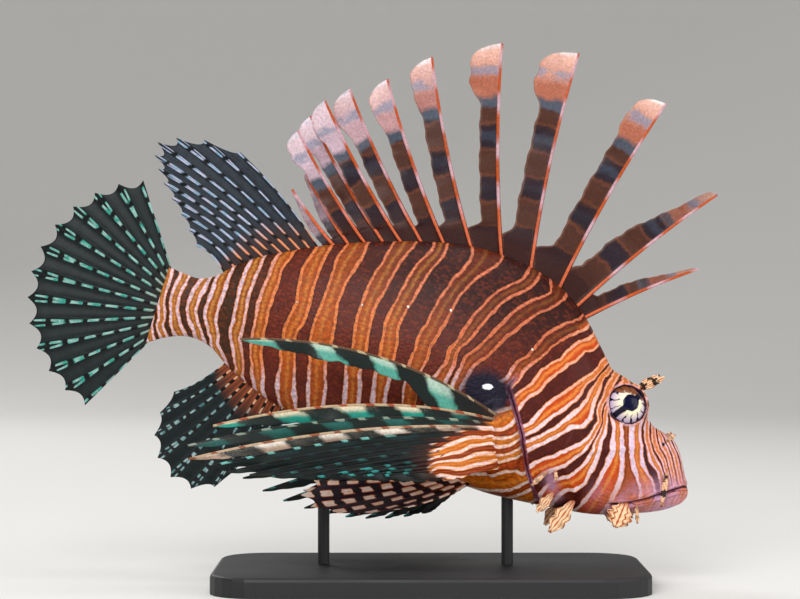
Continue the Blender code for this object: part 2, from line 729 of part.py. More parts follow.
def pectoral_fin(name, side, pose, collection):
    """A fleshy base with fourteen long rays, webbed low down and feathered above."""
    (top_x, top_z), (low_x, low_z) = PECTORAL_ROOT
    lines = []
    for i in range(PECTORAL_RAYS):
        share = i / (PECTORAL_RAYS - 1)
        x, z = top_x + (low_x - top_x) * share, top_z + (low_z - top_z) * share
        root = Vector((x, side * (side_y(x, z) + PECTORAL_ROOT_OUT), z))
        way = pectoral_direction(share, side, pose)
        tip = root + way * pectoral_length(share)
        upwards = Vector((0.0, side * 2.0, pose["arch"] * (1.0 - share) ** 2))
        lines.append(curved_line(root, tip, upwards, PECTORAL_ROWS))
    rays = []
    shares = np.array(PECTORAL_ROWS)
    hang_start, hang_reach = PECTORAL_HANG
    hang = np.clip((shares - hang_start) / hang_reach, 0.0, 1.0)[:, None]
    closing = np.clip((1.0 - shares) / 0.3, 0.0, 1.0) ** 0.6
    below = np.array((0.0, side * 0.2, -1.0))
    for i, (line, across) in enumerate(zip(lines, ways_across(lines))):
        last = i + 1 == len(lines)
        narrower = 1.0 - 0.35 * i / len(lines)
        blade = np.maximum(PECTORAL_BLADE * closing * narrower, LEAST_WIDTH)
        if last:
            blade = np.minimum(blade, tapered(PECTORAL_LAST_BLADE, PECTORAL_ROWS))
        rays.append(
            Ray(
                line,
                unit_rows(across) * (1 - hang) + below * hang,
                tapered(RAY_HALF_WIDTH, PECTORAL_ROWS),
                blade,
                tapered(RAY_THICKNESS, PECTORAL_ROWS),
                0 if last else PECTORAL_WEB_ROW,
            )
        )
    fin = fin_sheet(name, rays, 1.0, collection, False)
    x, z = (top_x + low_x) / 2 + PECTORAL_PAD_AHEAD, (top_z + low_z) / 2
    pad = ball(name + "_pad", (0.0, 0.0, 0.0), PECTORAL_PAD, collection, 14, 8)
    lean = math.atan2(low_x - top_x, top_z - low_z)
    pad.data.transform(Matrix.Rotation(-lean, 4, "Y"))
    pad.data.transform(Matrix.Translation((x, side * side_y(x, z), z)))
    combine(fin, [pad], "UNION")
    return fin


def pelvic_fin(name, side, collection):
    """A short fan of one spine and five rays below the belly."""
    (front_x, front_z), (rear_x, rear_z) = PELVIC_ROOT
    roots, tips = [], []
    for i, (x, z) in enumerate(PELVIC_TIPS):
        share = i / (PELVIC_RAYS - 1)
        out = PELVIC_TIP_OUT[0] + (PELVIC_TIP_OUT[1] - PELVIC_TIP_OUT[0]) * share
        root_x = front_x + (rear_x - front_x) * share
        root_z = front_z + (rear_z - front_z) * share
        roots.append((root_x, side * PELVIC_ROOT_OUT, root_z + PELVIC_ROOT_SINK))
        tips.append((x, side * out, z))
    return fan(name, roots, tips, (0.0, side * 2.0, -1.5), collection, on_outline=False)


def skin_flap(name, side, root, tip, out, width, collection):
    """A thin leaf of skin whose root is sunk in the head."""
    (x, z), (tip_x, tip_z) = root, tip
    y = side_y(x, z)
    start = Vector((x, side * (y - FLAP_SINK), z))
    end = Vector((tip_x, side * (y + out), tip_z))
    line = curved_line(start, end, (0.0, side * 1.0, 0.0), FLAP_ROWS)
    across = np.array((end - start).cross(Vector((0.0, side, 0.0))).normalized())
    wide = across * (width / 2 * np.array(FLAP_WIDTHS))[:, None]
    thin = [MEMBRANE] * len(FLAP_ROWS)
    columns = [(line - wide, thin), (line, np.array(FLAP_THICKNESS)), (line + wide, thin)]
    strips = [(i, i + 1, len(FLAP_ROWS) - 1) for i in range(2)]
    return sheet(name, columns, strips, collection)


def shifted(outline, dx, dz=0.0):
    return [(x + dx, z + dz) for x, z in outline]


def body_pieces(collection):
    """Head, lower jaw, trunk and tail stem, parted by thin cuts."""
    far_front, far_back, top, bottom = 150.0, -150.0, 80.0, -80.0
    hinge_x, hinge_z = JAW_HINGE
    mouth = list(MOUTH_LINE)

    head = place("head", body_mesh("head", True), collection)
    ahead = [(far_front, bottom), (far_front, top)]
    region = prism("region", shifted(GILL_LINE, HALF_CUT) + ahead, collection)
    combine(head, [region], "INTERSECT")
    jaw = place("lower_jaw", head.data.copy(), collection)
    below = [(hinge_x - GAP, hinge_z), (far_front, hinge_z)]
    region = prism("region", mouth + below, collection)
    combine(head, [region], "DIFFERENCE")
    below = [(hinge_x, hinge_z), (far_front, hinge_z)]
    region = prism("region", shifted(mouth, 0.0, -MOUTH_GAP) + below, collection)
    combine(jaw, [region], "INTERSECT")

    trunk = place("trunk", body_mesh("trunk", False), collection)
    cut = [(TAIL_CUT + HALF_CUT, bottom), (TAIL_CUT + HALF_CUT, top)]
    region = prism("region", shifted(GILL_LINE, -HALF_CUT) + cut, collection)
    combine(trunk, [region], "INTERSECT")

    stem = place("tail_stem", body_mesh("tail_stem", False), collection)
    cut = [(TAIL_CUT - HALF_CUT, top), (TAIL_CUT - HALF_CUT, bottom)]
    region = prism("region", [(far_back, bottom), (far_back, top)] + cut, collection)
    combine(stem, [region], "INTERSECT")
    return head, jaw, trunk, stem


def on_skin(x, z, side, lift=0.0):
    return (x, side * (side_y(x, z) + swell(x, z) + lift), z)


def lip(name, rise, collection):
    """A soft rim round the front of one jaw, along the mouth line."""
    (front_x, front_z), *edge = [(x, z + rise) for x, z in MOUTH_LINE[1:]]
    back, out = LIP_FRONT
    right = [on_skin(x, z, -1, -RIDGE_SINK) for x, z in reversed(edge)]
    left = [on_skin(x, z, 1, -RIDGE_SINK) for x, z in edge]
    front = [(front_x + back, -out, front_z), (front_x - back / 2, 0.0, front_z), (front_x + back, out, front_z)]
    return tube(name, flowing(right + front + left, 2 * RIDGE_STEPS), LIP_RADIUS, collection)


def head_details(head, jaw, collection):
    """Brow and cheek ridges, nostrils and lips, then the eye sockets."""
    pieces = [lip("upper_lip", LIP_RISE, collection)]
    for side in (-1, 1):
        brow = flowing([mirrored(point, side) for point in BROW], RIDGE_STEPS)
        pieces.append(tube("brow", brow, BROW_RADIUS, collection, RIDGE_END))
        for places in (CHEEK_RIDGE, GILL_PLATE_EDGE, NAPE_RIDGE):
            ridge = flowing([on_skin(x, z, side, -RIDGE_SINK) for x, z in places], RIDGE_STEPS)
            pieces.append(tube("ridge", ridge, RIDGE_RADIUS, collection, RIDGE_END))
        nostril = [on_skin(x, z, side, lift) for (x, z), lift in zip(NOSTRIL, NOSTRIL_HEIGHTS)]
        pieces.append(tube("nostril", nostril, NOSTRIL_RADII[0], collection))
        look = mirrored(EYE_LOOK, side).normalized()
        rim = mirrored(EYE_CENTRE, side) + look * ORBIT_DEPTH
        pieces.append(eye_cup(side, rim, look, collection))
        pieces.append(ring("orbit", rim, look, ORBIT_RADIUS, ORBIT_THICKNESS, collection))
    for piece in pieces:
        combine(head, [piece], "UNION")
    for side in (-1, 1):
        combine(head, [eye_room(side, SOCKET_RADIUS, collection)], "DIFFERENCE")
        low, high = (Vector(on_skin(x, z, side, lift)) for (x, z), lift in zip(NOSTRIL, NOSTRIL_HEIGHTS))
        pit = [low.lerp(high, share) for share in PIT_SHARES]
        combine(head, [tube("pit", pit, NOSTRIL_RADII[1], collection)], "DIFFERENCE")
    combine(jaw, [lip("lower_lip", -MOUTH_GAP - LIP_RISE, collection)], "UNION")


def cut_clear(obj, swollen, collection):
    """Cuts obj back from the body's skin by the clearance."""
    body = place("clear", body_mesh("clear", swollen, GAP), collection)
    combine(obj, [body], "DIFFERENCE")


def swing_at(x):
    """How far the bend of the tail moves the body to the left at x."""
    behind = max(BEND_START - x, 0.0)
    return TAIL_SWING * (behind / (BEND_START - TAIL_END)) ** 2


def swing_tail(mesh):
    """Bends the tail end of a finished mesh to the fish's left."""
    for vert in mesh.vertices:
        vert.co.y += swing_at(vert.co.x)


def rounded_plate(name, collection):
    """The stand's flat base, with round corners and a softened upper edge."""
    bm = bmesh.new()
    bmesh.ops.create_cube(bm, size=1.0)
    size = (BASE_LENGTH, BASE_WIDTH, BASE_THICKNESS)
    bmesh.ops.scale(bm, vec=size, verts=bm.verts)
    bmesh.ops.translate(bm, vec=(0.0, 0.0, BASE_THICKNESS / 2), verts=bm.verts)
    upright = [e for e in bm.edges if abs(e.verts[0].co.z - e.verts[1].co.z) > BASE_THICKNESS / 2]
    bmesh.ops.bevel(bm, geom=upright, offset=BASE_CORNER, segments=6, affect="EDGES", profile=0.5)
    rim = [e for e in bm.edges if all(v.co.z > BASE_THICKNESS * 0.9 for v in e.verts)]
    bmesh.ops.bevel(bm, geom=rim, offset=BASE_EDGE, segments=2, affect="EDGES", profile=0.5)
    mesh = bpy.data.meshes.new(name)
    bm.to_mesh(mesh)
    bm.free()
    return place(name, mesh, collection)


def stand_rod(name, x, collection):
    """An upright rod from the base to the belly at x along the fish, shaped to the skin."""
    stance = Matrix.Translation((0.0, 0.0, FISH_HEIGHT / UNIT)) @ NOSE_DOWN_TURN
    top = stance @ Vector((x, swing_at(x), belly_z(x) + ROD_RISE))
    foot = BASE_THICKNESS / UNIT + GAP
    rod = tube(name, [(top.x, top.y, foot), tuple(top)], ROD_RADIUS / UNIT, collection, roundness=8)
    body = place("clear", body_mesh("clear", False, GAP), collection)
    swing_tail(body.data)
    body.data.transform(stance)
    combine(rod, [body], "DIFFERENCE")
    rod.data.transform(Matrix.Scale(UNIT, 4))
    return rod


def finish(obj, colour):
    obj.data.materials.clear()
    obj.data.materials.append(material(colour))
    obj.data.shade_smooth()
    obj.data.set_sharp_from_angle(angle=math.radians(SMOOTHEST_EDGE))


def main():
    clear_scene()
    model = new_collection("red_lionfish")

    head, jaw, trunk, stem = body_pieces(model)
    head_details(head, jaw, model)
    pieces = {obj: "skin" for obj in (head, jaw, trunk, stem)}

    pieces[spiny_dorsal_fin(model)] = "pennant"
    soft_dorsal = (*SOFT_DORSAL_ROOTS, SOFT_DORSAL_TIPS, back_z, 1.0, (0.0, 0.0, 2.0))
    anal = (*ANAL_ROOTS, ANAL_TIPS, belly_z, -1.0, (0.0, 0.0, -2.0))
    pieces[median_fin("soft_dorsal_fin", *soft_dorsal, model)] = "fin"
    pieces[median_fin("anal_fin", *anal, model)] = "fin"
    pieces[caudal_fin(model)] = "fin"
    for side, word, pose in ((-1, "right", PECTORAL_RIGHT), (1, "left", PECTORAL_LEFT)):
        pectoral = pectoral_fin("pectoral_fin_" + word, side, pose, model)
        cut_clear(pectoral, True, model)
        pieces[pectoral] = "fin"
        pelvic = pelvic_fin("pelvic_fin_" + word, side, model)
        cut_clear(pelvic, False, model)
        pieces[pelvic] = "fin"
        for name, (root, tip, out, width) in FLAPS.items():
            flap = skin_flap(f"{name}_{word}", side, root, tip, out, width, model)
            cut_clear(flap, True, model)
            combine(flap, [eye_room(side, CUP_RADIUS + GAP, model)], "DIFFERENCE")
            pieces[flap] = "flap"
        eye = ball("eye_" + word, mirrored(EYE_CENTRE, side), (EYE_RADIUS,) * 3, model)
        pieces[eye] = "eye"

    holder = bpy.data.objects.new("fish_pose", None)
    model.objects.link(holder)
    holder.matrix_world = Matrix.Translation((0.0, 0.0, FISH_HEIGHT)) @ NOSE_DOWN_TURN
    for obj, colour in pieces.items():
        swing_tail(obj.data)
        obj.data.transform(Matrix.Scale(UNIT, 4))
        obj.parent = holder
        finish(obj, colour)

    finish(rounded_plate("stand_base", model), "stand")
    finish(stand_rod("stand_rod_front", ROD_PLACES[0], model), "stand")
    finish(stand_rod("stand_rod_rear", ROD_PLACES[1], model), "stand")


main()
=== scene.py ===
"""Red lionfish on its display stand: the finished, painted model around the solids of the frame.

Everything of the fish is worked out level, nose towards +X and left side towards +Y, in millimetres,
and then swung, pitched nose down and lifted to where the solids of the frame stand.
"""

import functools
import math

import bpy
import numpy as np
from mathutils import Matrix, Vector


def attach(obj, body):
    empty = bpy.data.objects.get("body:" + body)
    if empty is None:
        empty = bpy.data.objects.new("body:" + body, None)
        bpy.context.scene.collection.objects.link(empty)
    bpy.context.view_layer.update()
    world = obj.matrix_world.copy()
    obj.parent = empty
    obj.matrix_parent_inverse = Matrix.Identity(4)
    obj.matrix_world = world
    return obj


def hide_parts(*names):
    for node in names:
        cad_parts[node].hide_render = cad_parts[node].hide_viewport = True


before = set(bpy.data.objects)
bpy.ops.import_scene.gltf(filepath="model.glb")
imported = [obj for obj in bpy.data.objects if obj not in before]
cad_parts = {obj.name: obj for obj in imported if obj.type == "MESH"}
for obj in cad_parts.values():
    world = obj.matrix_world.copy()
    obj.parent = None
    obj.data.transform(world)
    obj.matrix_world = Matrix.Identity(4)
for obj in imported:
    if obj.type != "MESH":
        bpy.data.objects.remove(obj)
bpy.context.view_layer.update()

bl_info = {
    "name": "Red lionfish display model",
    "version": (1, 0, 0),
    "blender": (4, 5, 0),
    "location": "View3D > Sidebar > Lionfish",
    "description": "Builds the skin, fins, spines, flaps and eyes of a still red lionfish, and its stage",
    "category": "Object",
}

BODY_NAME = "root"
SIDES = ((-1, "right"), (1, "left"))
MM = 0.001
NOSE_DOWN = math.radians(17.0)
# Lengths and places are in mm of the level fish, where nothing else is said. Behind the bend's start the
# tail swings to the left
BEND_START = 20.0
TAIL_END = -166.0
TAIL_SWING = 13.0
FISH_LIFT = 92.0

# The photograph, seen from the fish's right side: the pixel that stands for the fish's origin, and the scale
PHOTO_ORIGIN = (430.0, 360.0)
MM_A_PIXEL = 0.41

# Stage, in metres: the middle of the camera's view, what the lights point at, and the camera's sensor in mm
VIEW_MIDDLE = (-0.0123, 0.0, 0.1168)
LIGHTS_AIM = (-0.01, 0.0, 0.11)
SENSOR_WIDTH = 36.0

# Body: x, height of the back, height of the belly, half width, height of the widest point, and how full
# the section is above and below it
BODY = (
    (-114.0, 5.2, -27.6, 2.2, -11.5, 2.0, 2.0),
    (-107.0, 4.3, -23.2, 3.4, -10.5, 2.0, 2.0),
    (-100.0, 4.4, -20.4, 4.3, -9.0, 2.0, 2.0),
    (-94.0, 7.6, -20.0, 5.2, -7.5, 1.9, 2.0),
    (-88.0, 13.6, -21.4, 6.4, -5.5, 1.8, 2.0),
    (-80.0, 19.6, -26.2, 8.3, -5.0, 1.75, 2.0),
    (-70.0, 25.0, -30.8, 10.8, -4.5, 1.75, 2.0),
    (-58.0, 31.0, -35.3, 13.8, -4.0, 1.75, 2.0),
    (-44.0, 36.9, -37.3, 16.8, -4.0, 1.75, 2.0),
    (-28.0, 42.4, -37.6, 19.4, -4.0, 1.75, 2.05),
    (-10.0, 47.4, -39.6, 21.8, -5.0, 1.75, 2.1),
    (8.0, 50.0, -42.4, 23.6, -7.0, 1.75, 2.15),
    (24.0, 49.0, -44.6, 24.8, -9.0, 1.8, 2.2),
    (38.0, 46.0, -45.3, 25.4, -11.0, 1.8, 2.2),
    (48.0, 41.2, -44.8, 25.2, -13.0, 1.85, 2.2),
    (57.0, 34.4, -44.0, 24.3, -14.0, 1.9, 2.2),
    (65.0, 26.0, -43.2, 22.6, -15.0, 2.0, 2.2),
    (72.0, 18.6, -42.4, 20.6, -16.0, 2.2, 2.2),
    (79.0, 16.4, -41.5, 18.4, -17.0, 2.3, 2.2),
    (85.0, 13.6, -40.2, 16.4, -18.0, 2.2, 2.2),
    (90.0, 6.0, -38.7, 14.6, -19.0, 2.1, 2.2),
    (95.0, 1.2, -36.9, 12.8, -20.0, 2.1, 2.2),
    (100.0, -0.4, -35.0, 11.2, -20.0, 2.1, 2.2),
    (105.0, -2.2, -33.0, 9.6, -20.2, 2.1, 2.1),
    (110.0, -8.0, -30.4, 7.6, -20.8, 2.1, 2.1),
    (113.6, -14.6, -27.8, 5.4, -21.4, 2.0, 2.0),
    (116.2, -19.4, -25.0, 2.6, -22.2, 2.0, 2.0),
)
GILL_LINE = (
    (58.5, 60.0), (57.0, 34.0), (45.0, 18.0), (34.5, 4.5), (32.5, -0.5),
    (37.5, -8.0), (43.5, -17.5), (48.5, -28.0), (54.0, -36.5), (60.0, -43.0), (63.0, -60.0),
)
MOUTH_LINE = (
    (122.0, -17.6), (113.8, -19.2), (106.0, -24.2), (99.0, -29.0), (91.0, -33.0), (84.0, -35.4),
)
GILL_SWELLING = (1.3, (47.0, -17.0), (13.0, 19.0))  # most rise, middle and reach
BROW = ((69.0, 10.4, 12.4), (74.0, 12.4, 15.2), (80.0, 12.9, 15.9), (84.5, 11.9, 13.8), (88.0, 10.2, 9.6))
BROW_RISE = 1.7
# Low ridges on the cheek, the gill plate's edge and the nape, and how far each stands out
RIDGES = (
    (((92.0, -8.0), (84.0, -11.5), (75.0, -14.5), (66.0, -17.5)), 0.9),
    (((64.0, -8.0), (62.0, -17.0), (64.5, -26.0), (71.0, -33.5)), 0.8),
    (((57.0, 30.6), (63.0, 25.2), (69.0, 19.0)), 1.0),
)
RIDGE_WIDTH = 1.3
LATERAL_LINE = ((-100.0, -3.0), (-58.7, 6.9), (-30.0, 14.0), (1.9, 22.0), (30.0, 25.0), (48.0, 20.0))

EYE_CENTRE = (80.5, 9.7, 5.1)
EYE_LOOK = (0.2, 0.93, 0.3)
EYE_RADIUS = 8.6
EYE_BAR = (-0.825, 0.565)  # across the dark bar through the eye: share forward and share upward
PLATE_TIP = ((58.8, -30.0), (64.5, -38.0))  # the pale lower tip of the gill plate
# The skin's cup round the eyeball, and its lid: radius, rise, width, and where it has eased back to the skin
CUP_RADIUS, CUP_REACH = 9.9, 4.6
LID_RADIUS, LID_RISE, LID_WIDTH, LID_EASE = 7.9, 4.7, 0.9, 4.2
SOCKET_FLOOR = 2.2
BEHIND_EYE = -6.0

# Dorsal spines: x of the root, x and z of the tip, width of the pennant and of its tip, and lean to the left
DORSAL_SPINES = (
    (55.5, 94.0, 67.5, 5.5, 1.5, -3.0),
    (51.0, 93.5, 99.5, 11.0, 4.0, 5.0),
    (42.0, 61.5, 128.0, 9.5, 11.0, -6.0),
    (28.5, 22.0, 138.5, 9.5, 14.5, 6.0),
    (15.5, -9.5, 132.0, 7.5, 12.5, -6.0),
    (2.5, -35.5, 119.5, 7.5, 10.0, 5.0),
    (-8.5, -50.0, 104.5, 6.5, 9.5, -6.0),
    (-17.5, -64.0, 97.0, 6.5, 10.0, 3.5),
    (-25.5, -72.0, 89.0, 6.5, 9.0, -4.0),
    (-32.5, -76.5, 82.0, 5.5, 8.0, 8.0),
    (-39.5, -79.0, 74.0, 5.5, 7.5, -5.5),
    (-46.0, -71.5, 58.5, 4.0, 1.5, 5.0),
    (-51.5, -74.5, 50.5, 3.5, 1.2, -1.5),
)
SPINE_BOW = 0.02
SPINE_SINK = 0.6
FLAG_WIDTH = 5.0  # a pennant that is wider than this at its tip ends in a flag
SHEET_EDGE = 0.08  # half the thickness of a sheet along the front of its ray

# Fins of the middle line: x of the first and the last root, and the tips of the rays
SOFT_DORSAL_ROOTS = (-57.0, -91.5)
SOFT_DORSAL_TIPS = (
    (-100.0, 59.0), (-115.5, 59.5), (-127.0, 57.0), (-134.0, 53.0), (-133.5, 47.5), (-130.5, 42.5),
    (-126.5, 37.5), (-121.5, 32.5), (-116.0, 27.5), (-110.5, 22.0), (-105.5, 16.5),
)
ANAL_ROOTS = (-48.5, -80.0)
ANAL_TIPS = (
    (-52.5, -48.5), (-60.0, -57.5), (-64.0, -68.0), (-69.5, -76.0), (-78.5, -79.5), (-88.0, -77.5),
    (-95.5, -71.5), (-99.5, -63.0), (-100.0, -53.5), (-97.0, -43.5),
)
CAUDAL_RAYS = 13
CAUDAL_ROOT_Z = (4.0, -26.0)
CAUDAL_ANGLES = (66.0, -71.0)
CAUDAL_RADIUS = 55.0

# Pectoral fins: the root's top and lower end, the lengths of the first, the longest and the last ray, which
# share of the rays lies above the longest, and the fleshy root with its pad on the body
PECTORAL_RAYS = 14
PECTORAL_ROOT = ((32.0, -13.0), (39.0, -32.0))
PECTORAL_LENGTHS = (108.0, 128.0, 48.0)
PECTORAL_LONGEST = 0.2
PECTORAL_ROOT_OUT = 2.6
FLESHY_ROOT = 28.0
DASHES_BEGIN = (34.0, 58.0)
PAD_RADII = (9.0, 16.0)
PAD_RISE = 4.6
PECTORAL_SKIN = 6.2
BREAST_PITCH = 3.2
PALE_RAYS = 4
# How each pectoral fin is held: degrees down and out from the tail's way, and how far its upper rays arch
PECTORAL_POSES = {
    "right": {"down": (0.0, 31.0), "spread": 0.22, "lift": 12.0, "out": (9.0, 38.0), "arch": 9.0},
    "left": {"down": (14.0, 42.0), "spread": 0.8, "lift": 0.0, "out": (16.0, 34.0), "arch": 6.0},
}
# Colours of each pectoral ray's ribbon: beside the ray, further off, the ray itself, and the dashes on it.
# The last row serves all the rays that remain
# The near-black rows of the right fin, from its sixth ray down, are partly its dark membrane and partly
# painted shade, where the lower rays hang in the fin's own shadow
DARK_AND_SHADED_RIGHT, DARK_LEFT = ("#0a1416", "#080d0e", "#080b0c"), ("#0c1e1e", "#0a1012", "#0a0e10")
PECTORAL_TONES = {
    "right": (
        ("#a4bcac", "#4a9282", "#5a4230", "#a89878"),
        ("#d0c4a8", "#158070", "#b09878", "#98401c"),
        ("#1f5650", "#0f4640", "#1c1e1a", "#7f8c7c"),
        ("#dcd4c8", "#a88c78", "#b89c80", "#84401a"),
        ("#12282a", "#0a1414", "#0a0f10", "#6aa8a0"),
        *((*DARK_AND_SHADED_RIGHT, dash) for dash in ("#14282a", "#102224", "#2c5a58", "#0e1c1e", "#2f8a86")),
    ),
    "left": tuple((*DARK_LEFT, dash) for dash in ("#2f9c96", "#3a8a88")),
}
# Colours of the other fins: membrane, its base, spots, the dashes' rims, the dashes in two tones, and
# the dashes near the base. Then the dashes' period in mm, their share of it, their half width in mm, and
# how much of the fin the base takes up
WEBBED_FINS = {
    "soft_dorsal": (
        "fin_membrane_navy_wet",
        ("#151e28", "#44200f", "#030405", "#1c2228", "#b4b4cc", "#7a9cb4", "#d88a60"), 9.0, 0.72, 0.26, 0.16,
    ),
    "anal": (
        "fin_membrane_black_spotted_wet",
        ("#0c1618", "#b0501a", "#030405", "#121c1e", "#8fa8a8", "#3c6c70", "#e0a078"), 4.2, 0.5, 0.22, 0.14,
    ),
    "tail": (
        "fin_membrane_teal_spotted_wet",
        ("#0b1516", "#1c1a12", "#030405", "#10201e", "#8db4ac", "#2c8c7e", "#8c9c90"), 7.5, 0.64, 0.28, 0.1,
    ),
    "pelvic": (
        "pelvic_membrane_blotched_wet",
        ("#200c1a", "#b04c0c", "#14060f", "#b85a1c", "#e8d0c4", "#e0b89c", "#ecc8b4"), 8.2, 0.56, 1.0, 0.22,
    ),
}
PELVIC_ROOT = ((31.0, -45.2), (20.0, -44.0))
PELVIC_OUT = (8.0, 27.0, 9.0)  # how far out the roots, the first tip and the last tip stand
PELVIC_SINK = 3.0
PELVIC_TIPS = ((5.0, -60.0), (-9.0, -67.0), (-20.0, -70.0), (-29.0, -70.5), (-34.5, -67.5), (-31.0, -60.5))
# Small cirri and larger flaps of the head: root, tip, how far the tip stands out, width, number of lobes,
# how far the edge curls, and how dark its bars are
CIRRI = {
    "nostril_flap": ((101.6, -3.6), (104.2, 0.2), 1.2, 1.5, 2.0, 0.4, 0.5),
    "gill_cirrus": ((57.9, -28.2), (53.2, -35.5), 2.5, 1.5, 2.0, 0.4, 0.5),
    "cheek_cirrus": ((60.5, -27.0), (62.0, -31.0), 2.5, 1.3, 2.0, 0.4, 0.5),
    "chin_barbel": ((97.0, -31.0), (99.5, -38.5), 2.0, 1.3, 2.0, 0.4, 0.5),
}
FLAPS = {
    "brow_tentacle": ((84.0, 12.5), (93.0, 21.5), 3.0, 2.8, 3.0, 0.5, 1.0),
    "snout_barbel": ((105.0, -13.5), (106.5, -29.0), 4.5, 1.8, 1.0, 0.3, 1.0),
    "lip_flap": ((92.5, -31.6), (91.0, -42.5), 3.0, 9.0, 4.5, 1.3, 0.0),
    "cheek_flap": ((72.0, -37.0), (66.0, -52.0), 3.0, 6.0, 3.5, 1.1, 0.0),
    "gill_flap": ((63.0, -36.0), (58.5, -45.5), 2.5, 3.8, 3.0, 0.9, 0.2),
}

